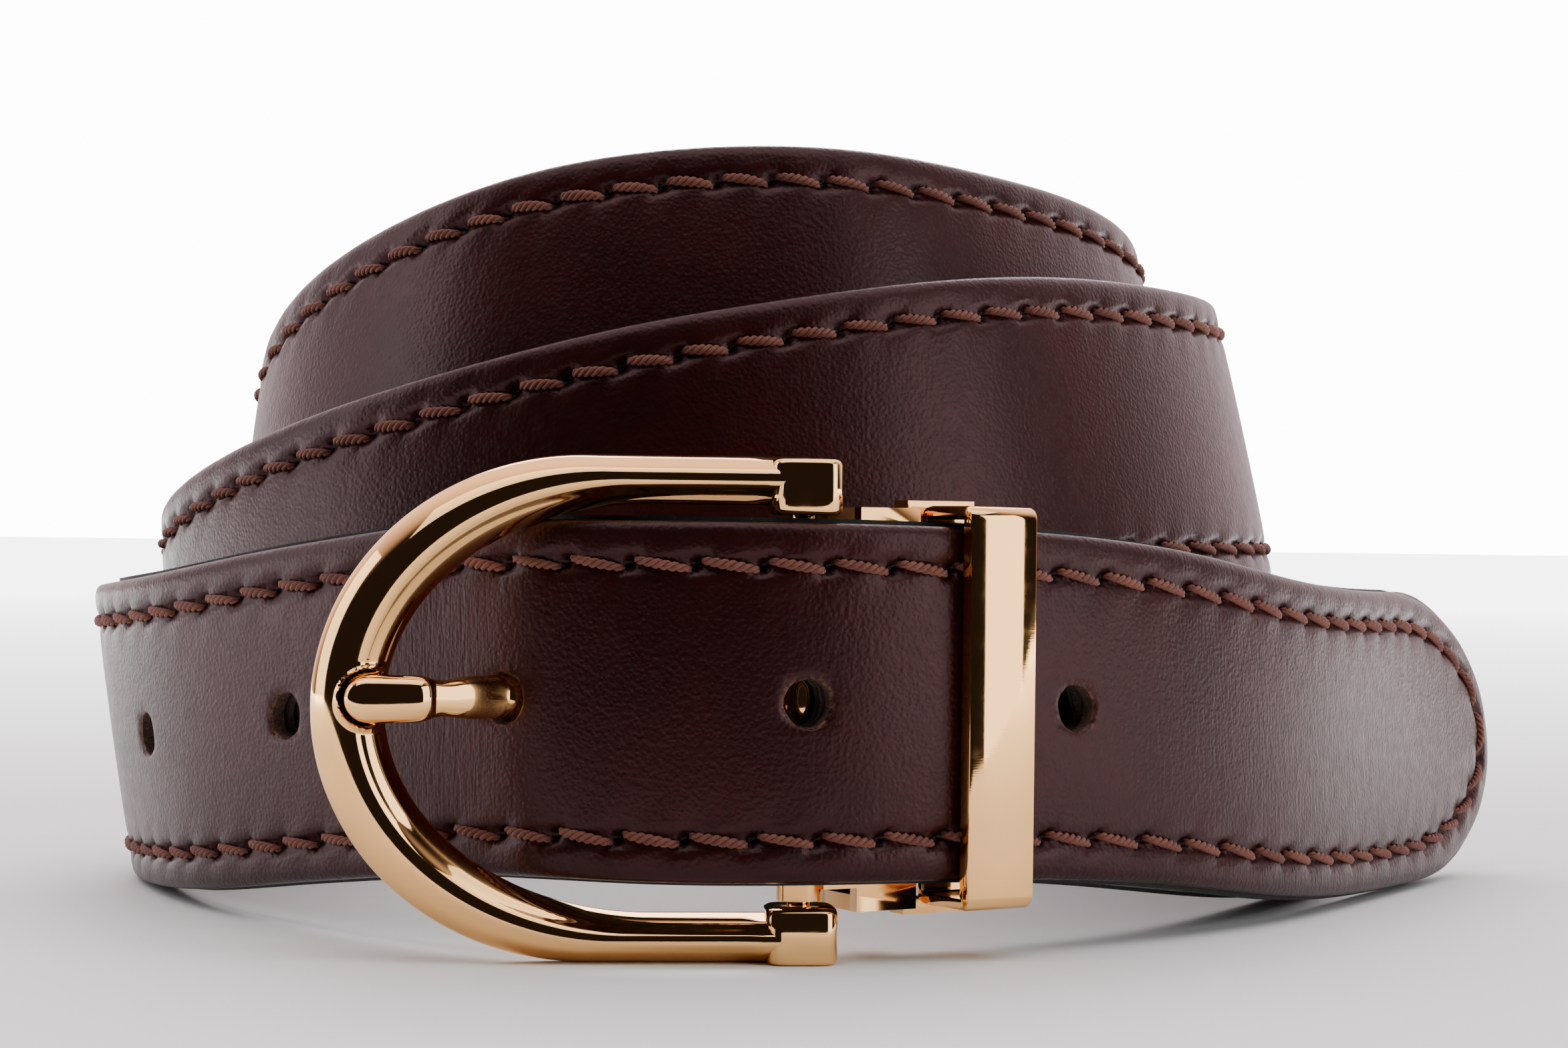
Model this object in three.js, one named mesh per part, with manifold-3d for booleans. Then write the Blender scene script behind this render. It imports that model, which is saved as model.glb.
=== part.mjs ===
// A dress belt, fastened and coiled: a three-layer strap wound in three turns, its seam thread,
// and a clamp-on horseshoe buckle with a metal keeper. Millimetres, +Z up, buckle towards -Y.
import * as THREE from 'three';
import { mergeVertices } from 'three/addons/utils/BufferGeometryUtils.js';
import Module from 'manifold-3d';

const wasm = await Module();
wasm.setup();

// ---- strap section ----
const LINING_HALF = 14.3;
const FACE_HALF = 13.9;
const CORE_HALF = 13.5;
const FACE_T = [0, 1.1];
const CORE_T = [1.4, 2.1];
const LINING_T = [2.4, 3.5];
const SHOULDER = 1.6;
const SHOULDER_DROP = 0.7;
const BROAD_STRIPS = [-1, -1 / 3, 1 / 3, 1];
const STEP = 9;
const JOIN_GAP = 0.15;
const ARC_PIECES = 4000;
const TANGENT_STEP = 0.2;
const WELD = 1e-4;

// ---- seam thread ----
const ROW_OFFSET = 10.6;
const THREAD_W = 0.9;
const THREAD_T = [-0.8, -0.3];
const THREAD_START = 3.6;
const THREAD_TIP_PLANES = [0, 0.3, 1.2, 3, 6, 10, 15, 22];
const TAIL_BARE = 17;

// ---- strap tip and punched holes ----
const TIP_ROUND = 22;
const TIP_POWER = 2.3;
const TIP_FLAT = 0.35;
const TIP_PLANES = [0, 0.8, 2.2, 4.6, 8, 12.5, 17.5, 23];
const HOLE_R = 1.8;
const HOLE_SIDES = 16;
const PUNCH_DEPTH = 14;
const HOLE_S = [90.3, 115.8, 166.6, 192];
const ROUND = 2 * HOLE_R;
const FACE_SLOT = { s: 139.9, length: 6.4, height: 4.9 };
const BACK_SLOT = { s: 137.3, length: 11.4, height: 5.5 };

// ---- stretches, as distances along the strap from the tip ----
const STRETCHES = [
  ['tip', 0, 93.3],
  ['fastened', 93.3, 176],
  ['bottom_turn', 176, 345],
  ['middle_turn', 345, 590],
  ['top_turn', 590, 850],
  ['tail', 850, Infinity],
];

// ---- buckle ----
const HINGE = new THREE.Vector3(1.5, 7, 19.7);
const FRAME_YAW = 5;
const FRAME_HALF_H = 19.7;
const FRAME_BACK = 1.6;
const FRAME_DEPTH = 3.2;
const FRAME_BEVEL = 0.8;
const FRAME_FORWARD = 2.4;
const OUTER_ARC = { x: -17, rx: 20.6, rz: 19.7 };
const INNER_ARC = { x: -12, rx: 20.5, rz: 15.9 };
const ARM_END = -1.2;
const LUG_R = 3.1;
const LUG_H = 4.4;
const BAR_R = 0.9;
const BORE_R = 1.15;
const BAR_HALF = 19.2;
const NOTCH = { x: [-36.6, -29], depth: 1.4, half: 2.3 };
const BEVEL_STEPS = 2;
const ARC_STEPS = 26;

// ---- prong ----
const PRONG_W = 3.8;
const PRONG_Z = 20.5;
const PRONG_T = 2;
const PRONG_LINE = [[0.2, 6.5], [-6, 6.4], [-14, 6.35], [-17, 6.3], [-19.5, 6], [-22, 4.7],
  [-24.5, 2.8], [-27, 1.1], [-29.5, 0], [-34, -0.3]];
const PRONG_RING_HALF = 2.2;

// ---- clamp, laid out as u along the strap, n towards its face, z up, from the hinge ----
const CLAMP_TURN = 31;
const KNUCKLE_R = 1.75;
const KNUCKLES = [[4.7, 18], [23, 34.7]];
const CLAMP_BLOCKS = {
  plate: [[1.2, 9.9], [0.8, 1.8], [5.6, 33.8]],
  front: [[4.3, 9.9], [0.8, 1.8], [3.7, 35.7]],
  lowerCheek: [[4.3, 9.9], [-4.6, 1.8], [3.7, 5]],
  upperCheek: [[4.3, 9.9], [-4.6, 1.8], [34.4, 35.7]],
  back: [[4.3, 9.9], [-4.6, -3.3], [3.7, 35.7]],
  lowerTab: [[9.6, 16], [-1.6, 0.4], [3.1, 4.3]],
  upperTab: [[9.6, 16], [-1.6, 0.4], [35.1, 36.3]],
  lowerEar: [[4.1, 6.8], [-5.4, -3.3], [11.8, 14.4]],
  upperEar: [[4.1, 6.8], [-5.4, -3.3], [25, 27.2]],
};
const CLAMP_CUTS = {
  prongGap: [[1, 2.7], [0.4, 2.4], [18, 23]],
  leverWindow: [[4.2, 11], [-6, -3.2], [14.4, 25]],
};

// ---- toothed lever and its pin ----
const PIN = { u: 5.4, n: -4.4, r: 0.5, hole: 0.75, z: [11.6, 27.4] };
const LEVER_R = 1.1;
const LEVER_Z = [14.7, 24.7];
const LEVER_BLADE = [[5.4, 15.6], [-5, -4], LEVER_Z];
const TEETH_U = [9, 10.5, 12, 13.5];
const TOOTH = { length: 0.8, n: [-4.1, -3.3] };

// ---- keeper ----
const KEEPER_U = [10.5, 16.9];
const KEEPER_N = [0.8, 8.25];
const KEEPER_Z = [4, 35.9];
const KEEPER_WALL = 0.95;
const KEEPER_CORNER = 1;

const STAND_CLEAR = 0.02;

const CENTRE = new THREE.Vector3(3.788, 60.924, 0);

const COLOURS = {
  face: { color: 0x2e1713, roughness: 0.38, metalness: 0 },
  core: { color: 0x3a2a22, roughness: 0.9, metalness: 0 },
  lining: { color: 0x141716, roughness: 0.7, metalness: 0 },
  thread: { color: 0x8a5a4a, roughness: 0.8, metalness: 0 },
  gold: { color: 0xe2bd94, roughness: 0.12, metalness: 1 },
};

// Height of the strap's middle where its lower edge stands on the ground.
function standing(lean) {
  const a = THREE.MathUtils.degToRad(Math.abs(lean));
  const lift = lean < 0 ? LINING_T[1] : -LINING_T[0];
  return LINING_HALF * Math.cos(a) + lift * Math.sin(a) + STAND_CLEAR;
}

// Stations along the outer face, from the tip to the clamped end:
// across, back, height of the middle (null: it stands on the ground), outward lean in degrees.
const ROUTE = [
  [73, 88.6, null, -8], [64.2, 72.4, null, -7], [55, 54.4, 14.9, -4], [44.3, 35.6, 16.4, -3],
  [33.4, 22.4, 18.6, -2], [20.9, 11.9, 19.9, 0], [8, 3.7, 20.4, 0], [-4, 0.2, 20.5, 0],
  [-12, 0.9, 20.5, 0], [-18.5, 3.3, 20.5, 0], [-22.8, 6.2, 20.3, 1], [-27.6, 9.9, 20, 1],
  [-33.2, 14.4, 19.2, 2], [-43, 23.6, 17.5, 4], [-52.4, 34.8, 15.6, 6], [-59.4, 48, 14.4, 8],
  [-63.6, 63, null, 8], [-61.6, 80, 14.6, 4], [-52.6, 98, 17.2, 0], [-37.6, 111.8, 21.8, 0],
  [-19, 120, 28, 0], [0, 122, 34.6, -2], [17.6, 117.6, 40.4, -5], [31.6, 107.4, 43.8, -8],
  [41, 93, 44.8, -11], [44.8, 76, 43.2, -12], [43, 60.8, 42.8, -13], [36.8, 47.2, 42.9, -13],
  [27.4, 34.8, 42.8, -13], [15, 24, 41.6, -13], [1, 17.6, 39.3, -12], [-13, 16.4, 36.6, -9],
  [-27.6, 21.6, 33, -5], [-40.8, 31.4, 29.1, -1], [-51.4, 45, 25, 2], [-58.4, 62, 20.8, 4],
  [-56.9, 79.4, 19.8, 3], [-48.4, 94.8, 22.6, 0], [-34.4, 106.6, 27.6, -2], [-17, 113.8, 33.4, -4],
  [0, 114.4, 39, -6], [15.4, 109.4, 43.2, -8], [27.8, 99, 46, -10], [35.4, 85, 47.6, -12],
  [36.8, 69, 48.8, -13], [30.9, 53.9, 51, -14], [20, 39.7, 52.6, -15], [7, 30.2, 53.6, -15],
  [-8.4, 27, 53.2, -15], [-24.6, 29.4, 50.4, -13], [-38.5, 39.4, 45.6, -10], [-48.2, 53.2, 39.4, -7],
  [-52, 69.4, 32.6, -5], [-48, 85, 27, -2], [-37.6, 97.4, 22.6, 0], [-24, 105.2, 18.8, 0],
  [-6, 107.6, 15.8, 0], [12, 104.6, 14.6, 0], [28.8, 97.4, null, 0], [42.8, 88, null, 0],
  [51.2, 76, null, 0], [51.2, 60.8, 14.5, 0], [44.4, 46.2, 15.2, 0], [33.1, 29.7, 17.4, 0],
  [18.3, 16.5, 19.4, 0], [6.7, 9.5, 19.7, 0],
].map(([x, y, z, lean]) => [x, y, z ?? standing(lean), lean]);

// Natural cubic spline: second derivatives at the stations for one column of values.
function curvatures(t, v) {
  const n = t.length;
  const upper = new Array(n).fill(0);
  const right = new Array(n).fill(0);
  for (let i = 1; i < n - 1; i++) {
    const a = t[i] - t[i - 1];
    const b = t[i + 1] - t[i];
    const pull = 6 * ((v[i + 1] - v[i]) / b - (v[i] - v[i - 1]) / a);
    const pivot = 2 * (a + b) - a * upper[i - 1];
    upper[i] = b / pivot;
    right[i] = (pull - a * right[i - 1]) / pivot;
  }
  const m = new Array(n).fill(0);
  for (let i = n - 2; i > 0; i--) m[i] = right[i] - upper[i] * m[i + 1];
  return m;
}

// The strap's route as a curve through the stations, and distances along it.
class StrapRoute {
  constructor(stations) {
    this.rows = stations;
    this.t = [0];
    for (let i = 1; i < stations.length; i++) {
      const [a, b] = [stations[i - 1], stations[i]];
      this.t.push(this.t[i - 1] + Math.hypot(b[0] - a[0], b[1] - a[1], b[2] - a[2]));
    }
    this.m = [0, 1, 2, 3].map((k) => curvatures(this.t, stations.map((row) => row[k])));
    this.measure();
  }

  at(q) {
    const next = this.t.findIndex((t) => t > q);
    const last = this.t.length - 2;
    const i = next < 0 ? last : Math.max(0, next - 1);
    const h = this.t[i + 1] - this.t[i];
    const a = (this.t[i + 1] - q) / h;
    const b = 1 - a;
    return this.m.map((m, k) => a * this.rows[i][k] + b * this.rows[i + 1][k]
      + ((a ** 3 - a) * m[i] + (b ** 3 - b) * m[i + 1]) * h * h / 6);
  }

  measure() {
    const end = this.t[this.t.length - 1];
    this.q = [0];
    this.s = [0];
    let last = this.at(0);
    for (let i = 1; i <= ARC_PIECES; i++) {
      const p = this.at(end * i / ARC_PIECES);
      this.q.push(end * i / ARC_PIECES);
      this.s.push(this.s[i - 1] + Math.hypot(p[0] - last[0], p[1] - last[1], p[2] - last[2]));
      last = p;
    }
  }

  get length() {
    return this.s[ARC_PIECES];
  }

  // Point, direction, outward and upward axes at a distance along the strap. The upward axis stays
  // in the upright plane across the strap, and is longer than 1 where the strap climbs.
  frame(s) {
    const k = THREE.MathUtils.clamp(this.s.findIndex((v) => v >= s), 1, ARC_PIECES);
    const part = (s - this.s[k - 1]) / (this.s[k] - this.s[k - 1]);
    const q = this.q[k - 1] + part * (this.q[k] - this.q[k - 1]);
    const [x, y, z, lean] = this.at(q);
    const [before, after] = [this.at(q - TANGENT_STEP), this.at(q + TANGENT_STEP)];
    const along = new THREE.Vector3(after[0] - before[0], after[1] - before[1],
      after[2] - before[2]).normalize();
    const level = new THREE.Vector3(-along.y, along.x, 0).normalize();
    const climb = Math.hypot(along.x, along.y);
    const turn = THREE.MathUtils.degToRad(lean);
    const out = level.clone().multiplyScalar(Math.cos(turn)).setZ(-Math.sin(turn));
    const up = level.multiplyScalar(Math.sin(turn)).setZ(Math.cos(turn)).divideScalar(climb);
    return { point: new THREE.Vector3(x, y, z), along, out, up };
  }

  // A point of the strap: distance along, height across its width, depth in from the face.
  place(s, across, depth) {
    const f = this.frame(s);
    return f.point.addScaledVector(f.up, across).addScaledVector(f.out, -depth);
  }
}

const route = new StrapRoute(ROUTE);

// ---- solids ----
function toSolid(geometry) {
  const g = geometry.clone();
  g.deleteAttribute('normal');
  g.deleteAttribute('uv');
  const merged = mergeVertices(g, WELD);
  return new wasm.Manifold(new wasm.Mesh({
    numProp: 3,
    vertProperties: new Float32Array(merged.attributes.position.array),
    triVerts: new Uint32Array(merged.index.array),
  }));
}

function toGeometry(solid) {
  const mesh = solid.getMesh();
  const g = new THREE.BufferGeometry();
  g.setAttribute('position', new THREE.BufferAttribute(new Float32Array(mesh.vertProperties), 3));
  g.setIndex(new THREE.BufferAttribute(new Uint32Array(mesh.triVerts), 1));
  g.computeVertexNormals();
  return g;
}

function join(parts) {
  return parts.map(toSolid).reduce((a, b) => a.add(b));
}

function cut(solid, tools) {
  return tools.map(toSolid).reduce((a, b) => a.subtract(b), solid);
}

function box([x0, x1], [y0, y1], [z0, z1]) {
  const g = new THREE.BoxGeometry(x1 - x0, y1 - y0, z1 - z0);
  return g.translate((x0 + x1) / 2, (y0 + y1) / 2, (z0 + z1) / 2);
}

function post(radius, [z0, z1], sides = 20) {
  const g = new THREE.CylinderGeometry(radius, radius, z1 - z0, sides).rotateX(Math.PI / 2);
  return g.translate(0, 0, (z0 + z1) / 2);
}

function polygon(points) {
  return new THREE.Shape(points.map(([x, y]) => new THREE.Vector2(x, y)));
}

// ---- strap ----
// Share of the full half width that is left near the rounded tip.
function roundShare(distance) {
  if (distance >= TIP_ROUND) return 1;
  return (1 - (1 - distance / TIP_ROUND) ** TIP_POWER) ** (1 / TIP_POWER);
}

function tipShare(s) {
  return roundShare(Math.max(s, TIP_FLAT));
}

// Distances of the section planes of a stretch; they crowd together at the rounded tip.
function planes(from, to) {
  const count = Math.max(1, Math.round((to - from) / STEP));
  const list = [];
  for (let i = 0; i <= count; i++) list.push(from + (to - from) * i / count);
  if (from > 0) return list;
  return [...TIP_PLANES, ...list.filter((s) => s > TIP_PLANES[TIP_PLANES.length - 1] + 3)];
}

// A straight bar of the given section, bent along the strap's route.
function bend(section, from, to, across) {
  const list = planes(from, to);
  const g = new THREE.ExtrudeGeometry(polygon(section),
    { depth: list.length - 1, steps: list.length - 1, bevelEnabled: false });
  const position = g.attributes.position;
  for (let i = 0; i < position.count; i++) {
    const s = list[Math.round(position.getZ(i))];
    const p = route.place(s, across(s, position.getX(i)), position.getY(i));
    position.setXYZ(i, p.x, p.y, p.z);
  }
  return g;
}

function faceSection() {
  const h = FACE_HALF;
  const [t0, t1] = FACE_T;
  return [[-h, t1], [-h, t0 + SHOULDER_DROP], [-h + SHOULDER, t0], [h - SHOULDER, t0],
    [h, t0 + SHOULDER_DROP], ...broadSide(h, t1).reverse()];
}

function barSection(half, [t0, t1]) {
  return [[-half, t0], [half, t0], [half, t1], [-half, t1]];
}

// One broad side of a layer, in strips, so that two layers twist alike.
function broadSide(half, t) {
  return BROAD_STRIPS.map((share) => [share * half, t]);
}

function layerSection(half, [t0, t1]) {
  return [...broadSide(half, t0), ...broadSide(half, t1).reverse()];
}

// Punch through the strap, longer along the strap than high where the prong pulls it.
function punch(s, length, height) {
  const f = route.frame(s);
  const g = new THREE.CylinderGeometry(HOLE_R, HOLE_R, PUNCH_DEPTH, HOLE_SIDES);
  g.scale(length / 2 / HOLE_R, 1, height / 2 / HOLE_R);
  g.applyMatrix4(new THREE.Matrix4().makeBasis(f.along, f.out, f.up));
  return g.translate(f.point.x, f.point.y, f.point.z);
}

function punches(from, to, slot) {
  const inside = (s) => s > from && s < to;
  const tools = HOLE_S.filter(inside).map((s) => punch(s, ROUND, ROUND));
  return inside(slot.s) ? [...tools, punch(slot.s, slot.length, slot.height)] : tools;
}

function layer(section, from, to, slot) {
  const bar = bend(section, from, to, (s, x) => x * tipShare(s));
  return toGeometry(cut(toSolid(bar), punches(from, to, slot)));
}

// One row of the seam thread: +1 is the upper row and -1 the lower one.
function threadRow(side, from, to) {
  const section = barSection(THREAD_W / 2, THREAD_T);
  return bend(section, from, to, (s, x) => side * ROW_OFFSET + x);
}

// The thread's two rows, joined round the tip of the strap.
function threadLoop(to) {
  const half = ROW_OFFSET + THREAD_W / 2;
  const edge = (inset) => THREAD_TIP_PLANES.map((d) => [
    THREAD_START + inset + d * (1 - inset / TIP_ROUND), (half - inset) * roundShare(d)]);
  const outer = edge(0);
  const inner = edge(THREAD_W);
  const mirror = ([s, across]) => [s, -across];
  const outline = [...outer.slice(1).reverse(), outer[0], ...outer.slice(1).map(mirror),
    ...inner.slice(1).reverse().map(mirror), inner[0], ...inner.slice(1)];
  const turn = new THREE.ExtrudeGeometry(polygon(outline),
    { depth: THREAD_T[1] - THREAD_T[0], steps: 1, bevelEnabled: false });
  const position = turn.attributes.position;
  for (let i = 0; i < position.count; i++) {
    const depth = THREAD_T[0] + position.getZ(i);
    const p = route.place(position.getX(i), position.getY(i), depth);
    position.setXYZ(i, p.x, p.y, p.z);
  }
  const rows = [1, -1].map((side) => threadRow(side, THREAD_START + TIP_ROUND - 1, to));
  return toGeometry(join([turn, ...rows]));
}

// ---- buckle ----
function arc({ x, rx, rz }, steps) {
  const list = [];
  for (let i = 0; i <= steps; i++) {
    const a = Math.PI * (0.5 + i / steps);
    list.push([x + rx * Math.cos(a), rz * Math.sin(a)]);
  }
  return list;
}

function frameGeometry() {
  const outline = [[ARM_END, OUTER_ARC.rz], ...arc(OUTER_ARC, ARC_STEPS),
    [ARM_END, -OUTER_ARC.rz], [ARM_END, -INNER_ARC.rz],
    ...arc(INNER_ARC, ARC_STEPS).reverse(), [ARM_END, INNER_ARC.rz]];
  const hoop = new THREE.ExtrudeGeometry(polygon(outline), {
    depth: FRAME_DEPTH - 2 * FRAME_BEVEL, steps: 1, bevelThickness: FRAME_BEVEL,
    bevelSize: FRAME_BEVEL, bevelOffset: -FRAME_BEVEL, bevelSegments: BEVEL_STEPS,
  });
  hoop.translate(0, 0, FRAME_BEVEL).rotateX(Math.PI / 2);
  hoop.translate(0, FRAME_DEPTH / 2 - FRAME_FORWARD, HINGE.z);
  const lugs = [[0, LUG_H], [2 * HINGE.z - LUG_H, 2 * HINGE.z]].map((z) => post(LUG_R, z, 24));
  const front = -FRAME_DEPTH / 2 - FRAME_FORWARD;
  const notch = box(NOTCH.x, [front - 1, front + NOTCH.depth],
    [PRONG_Z - NOTCH.half, PRONG_Z + NOTCH.half]);
  const bore = post(BORE_R, [-1, 2 * HINGE.z + 1]);
  return toGeometry(cut(join([hoop, ...lugs]), [notch, bore]));
}

// A band of constant thickness along a line of points.
function ribbon(points, thickness) {
  const side = (sign) => points.map(([x, y], i) => {
    const [x0, y0] = points[Math.max(0, i - 1)];
    const [x1, y1] = points[Math.min(points.length - 1, i + 1)];
    const length = Math.hypot(x1 - x0, y1 - y0);
    return [x - sign * thickness / 2 * (y1 - y0) / length,
      y + sign * thickness / 2 * (x1 - x0) / length];
  });
  return polygon([...side(1), ...side(-1).reverse()]);
}

function prongGeometry() {
  const bar = new THREE.ExtrudeGeometry(ribbon(PRONG_LINE, PRONG_T),
    { depth: PRONG_W, steps: 1, bevelEnabled: false }).translate(0, 0, PRONG_Z - PRONG_W / 2);
  const z = [PRONG_Z - PRONG_RING_HALF, PRONG_Z + PRONG_RING_HALF];
  const ring = post(KNUCKLE_R, z, 24).translate(HINGE.x, HINGE.y, 0);
  const bore = post(BORE_R, [z[0] - 1, z[1] + 1]).translate(HINGE.x, HINGE.y, 0);
  return toGeometry(cut(join([bar, ring]), [bore]));
}

// ---- clamp ----
function clampBlock([u, n, z]) {
  return box(u, [-n[1], -n[0]], z);
}

function clampGeometry() {
  const knuckles = KNUCKLES.map((z) => post(KNUCKLE_R, z, 24));
  const body = join([...Object.values(CLAMP_BLOCKS).map(clampBlock), ...knuckles]);
  const bore = post(BORE_R, [0, 2 * HINGE.z]);
  const pinHole = post(PIN.hole, [0, 2 * HINGE.z], 16).translate(PIN.u, -PIN.n, 0);
  return toGeometry(cut(body, [...Object.values(CLAMP_CUTS).map(clampBlock), bore, pinHole]));
}

function tooth(u) {
  const outline = polygon([[u, -TOOTH.n[0]], [u + TOOTH.length, -TOOTH.n[0]], [u, -TOOTH.n[1]]]);
  const depth = LEVER_Z[1] - LEVER_Z[0];
  return new THREE.ExtrudeGeometry(outline, { depth, steps: 1, bevelEnabled: false })
    .translate(0, 0, LEVER_Z[0]);
}

function leverGeometry() {
  const barrel = post(LEVER_R, LEVER_Z, 16).translate(PIN.u, -PIN.n, 0);
  const hole = post(PIN.hole, [0, 2 * HINGE.z], 16).translate(PIN.u, -PIN.n, 0);
  return toGeometry(cut(join([clampBlock(LEVER_BLADE), barrel, ...TEETH_U.map(tooth)]), [hole]));
}

function roundedRectangle([x0, x1], [y0, y1], r, Kind) {
  const path = new Kind();
  path.moveTo(x0 + r, y0);
  path.lineTo(x1 - r, y0);
  path.absarc(x1 - r, y0 + r, r, -Math.PI / 2, 0);
  path.lineTo(x1, y1 - r);
  path.absarc(x1 - r, y1 - r, r, 0, Math.PI / 2);
  path.lineTo(x0 + r, y1);
  path.absarc(x0 + r, y1 - r, r, Math.PI / 2, Math.PI);
  path.lineTo(x0, y0 + r);
  path.absarc(x0 + r, y0 + r, r, Math.PI, 1.5 * Math.PI);
  return path;
}

function keeperGeometry() {
  const inner = ([a, b]) => [a + KEEPER_WALL, b - KEEPER_WALL];
  const shape = roundedRectangle(KEEPER_N, KEEPER_Z, KEEPER_CORNER, THREE.Shape);
  shape.holes.push(roundedRectangle(inner(KEEPER_N), inner(KEEPER_Z), KEEPER_CORNER / 4, THREE.Path));
  const g = new THREE.ExtrudeGeometry(shape,
    { depth: KEEPER_U[1] - KEEPER_U[0], steps: 1, bevelEnabled: false, curveSegments: 4 });
  const axes = new THREE.Matrix4().makeBasis(new THREE.Vector3(0, -1, 0),
    new THREE.Vector3(0, 0, 1), new THREE.Vector3(-1, 0, 0));
  return g.applyMatrix4(axes).translate(KEEPER_U[1], 0, 0);
}

// ---- assembly ----
const belt = new THREE.Group();
const frameGroup = new THREE.Group();
const clampGroup = new THREE.Group();
frameGroup.position.set(HINGE.x, HINGE.y, 0);
frameGroup.rotation.z = THREE.MathUtils.degToRad(FRAME_YAW);
clampGroup.position.set(HINGE.x, HINGE.y, 0);
clampGroup.rotation.z = THREE.MathUtils.degToRad(CLAMP_TURN);
belt.position.copy(CENTRE).negate();
belt.add(frameGroup, clampGroup);

function addPiece(group, name, geometry, look) {
  const mesh = new THREE.Mesh(geometry, new THREE.MeshStandardMaterial(COLOURS[look]));
  mesh.name = name;
  group.add(mesh);
}

function addStretch([name, start, end]) {
  const from = start > 0 ? start + JOIN_GAP : 0;
  const to = Math.min(end - JOIN_GAP, route.length);
  addPiece(belt, `face_${name}`, layer(faceSection(), from, to, FACE_SLOT), 'face');
  addPiece(belt, `core_${name}`, layer(layerSection(CORE_HALF, CORE_T), from, to, BACK_SLOT), 'core');
  const lining = layer(layerSection(LINING_HALF, LINING_T), from, to, BACK_SLOT);
  addPiece(belt, `lining_${name}`, lining, 'lining');
  if (from === 0) {
    addPiece(belt, `thread_${name}`, threadLoop(to), 'thread');
    return;
  }
  const sewn = Math.min(to, route.length - TAIL_BARE);
  addPiece(belt, `thread_upper_${name}`, threadRow(1, from, sewn), 'thread');
  addPiece(belt, `thread_lower_${name}`, threadRow(-1, from, sewn), 'thread');
}

STRETCHES.forEach(addStretch);
const hingeBar = post(BAR_R, [HINGE.z - BAR_HALF, HINGE.z + BAR_HALF]);
const leverPin = post(PIN.r, PIN.z, 12).translate(PIN.u, -PIN.n, 0);
addPiece(frameGroup, 'buckle_frame', frameGeometry(), 'gold');
addPiece(frameGroup, 'hinge_bar', hingeBar, 'gold');
addPiece(belt, 'prong', prongGeometry(), 'gold');
addPiece(clampGroup, 'clamp_body', clampGeometry(), 'gold');
addPiece(clampGroup, 'clamp_lever', leverGeometry(), 'gold');
addPiece(clampGroup, 'lever_pin', leverPin, 'gold');
addPiece(clampGroup, 'keeper', keeperGeometry(), 'gold');

export default belt;
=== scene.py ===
"""Looks of a coiled leather dress belt with a gold horseshoe buckle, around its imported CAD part."""

import math

import bmesh
import bpy
import numpy as np
from mathutils import Matrix, Vector


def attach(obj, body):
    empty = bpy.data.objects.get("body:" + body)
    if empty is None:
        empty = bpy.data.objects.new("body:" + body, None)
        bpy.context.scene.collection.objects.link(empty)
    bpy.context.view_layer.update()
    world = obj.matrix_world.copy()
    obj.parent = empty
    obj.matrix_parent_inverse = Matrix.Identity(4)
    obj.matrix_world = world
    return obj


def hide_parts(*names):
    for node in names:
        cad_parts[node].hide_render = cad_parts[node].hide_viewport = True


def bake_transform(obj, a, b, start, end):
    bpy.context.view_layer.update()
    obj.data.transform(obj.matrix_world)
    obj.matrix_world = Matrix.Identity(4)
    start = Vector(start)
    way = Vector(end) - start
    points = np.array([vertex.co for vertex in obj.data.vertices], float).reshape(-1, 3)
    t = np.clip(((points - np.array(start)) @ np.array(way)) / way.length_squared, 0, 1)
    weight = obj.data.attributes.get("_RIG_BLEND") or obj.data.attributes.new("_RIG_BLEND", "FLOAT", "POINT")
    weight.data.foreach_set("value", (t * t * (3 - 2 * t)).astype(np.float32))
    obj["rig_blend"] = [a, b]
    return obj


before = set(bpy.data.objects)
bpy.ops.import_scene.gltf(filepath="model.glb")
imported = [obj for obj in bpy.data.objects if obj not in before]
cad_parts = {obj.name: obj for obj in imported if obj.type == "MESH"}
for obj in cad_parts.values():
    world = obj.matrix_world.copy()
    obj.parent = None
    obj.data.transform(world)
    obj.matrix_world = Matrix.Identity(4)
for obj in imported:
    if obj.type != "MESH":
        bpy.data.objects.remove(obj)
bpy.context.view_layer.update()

MM = 0.001
RANDOM = np.random.default_rng(7)

# ---- strap section, millimetres ----
FACE_HALF = 13.95
CORE_HALF = 13.7
LINING_HALF = 14.3
FACE_BACK = 1.38
CORE_T = (1.4, 2.38)
LINING_T = (2.4, 3.5)
EDGE_ROUND = 1.2
EDGE_DROP = 0.75
DOME, DOME_WIDTH = 0.2, 2.6
# the soft bead outside the seam: rise, place from the seam, width
BEAD = (0.05, 1.5, 0.8)
STAND_CLEAR = 0.02

# ---- what the stitches press into the face ----
GROOVE, GROOVE_WIDTH = 0.3, 0.52
# a needle slit's depth, then its half width and half length
PIT = 0.95
SLIT = (0.34, 0.95)
PUCKER, PUCKER_SKEW, PUCKER_WIDTH = 0.1, 0.12, 1.3

# ---- seam ----
ROW_OFFSET = 10.6
SEAM_END = 15.0
FIRST_HOLE = 0.6
STITCH_LONG = 5.36
STITCH_SHORT = 5.02
LONG_UNTIL = 200.0
PITCH_SPREAD = 0.06
STITCH_SLANT = 0.36
STITCH_INSET = 0.38
THREAD_R = 0.45
THREAD_LIFT = 0.02
THREAD_SINK = 0.75
TWIST_LENGTH = 2.3
# how a stitch is built in front and behind: plies, steps along, sides, ply radius as a share
STITCH_FRONT = (3, 19, 7, 0.5)
STITCH_BACK = (2, 11, 6, 0.6)
PLY_OFFSET = 0.52

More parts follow.
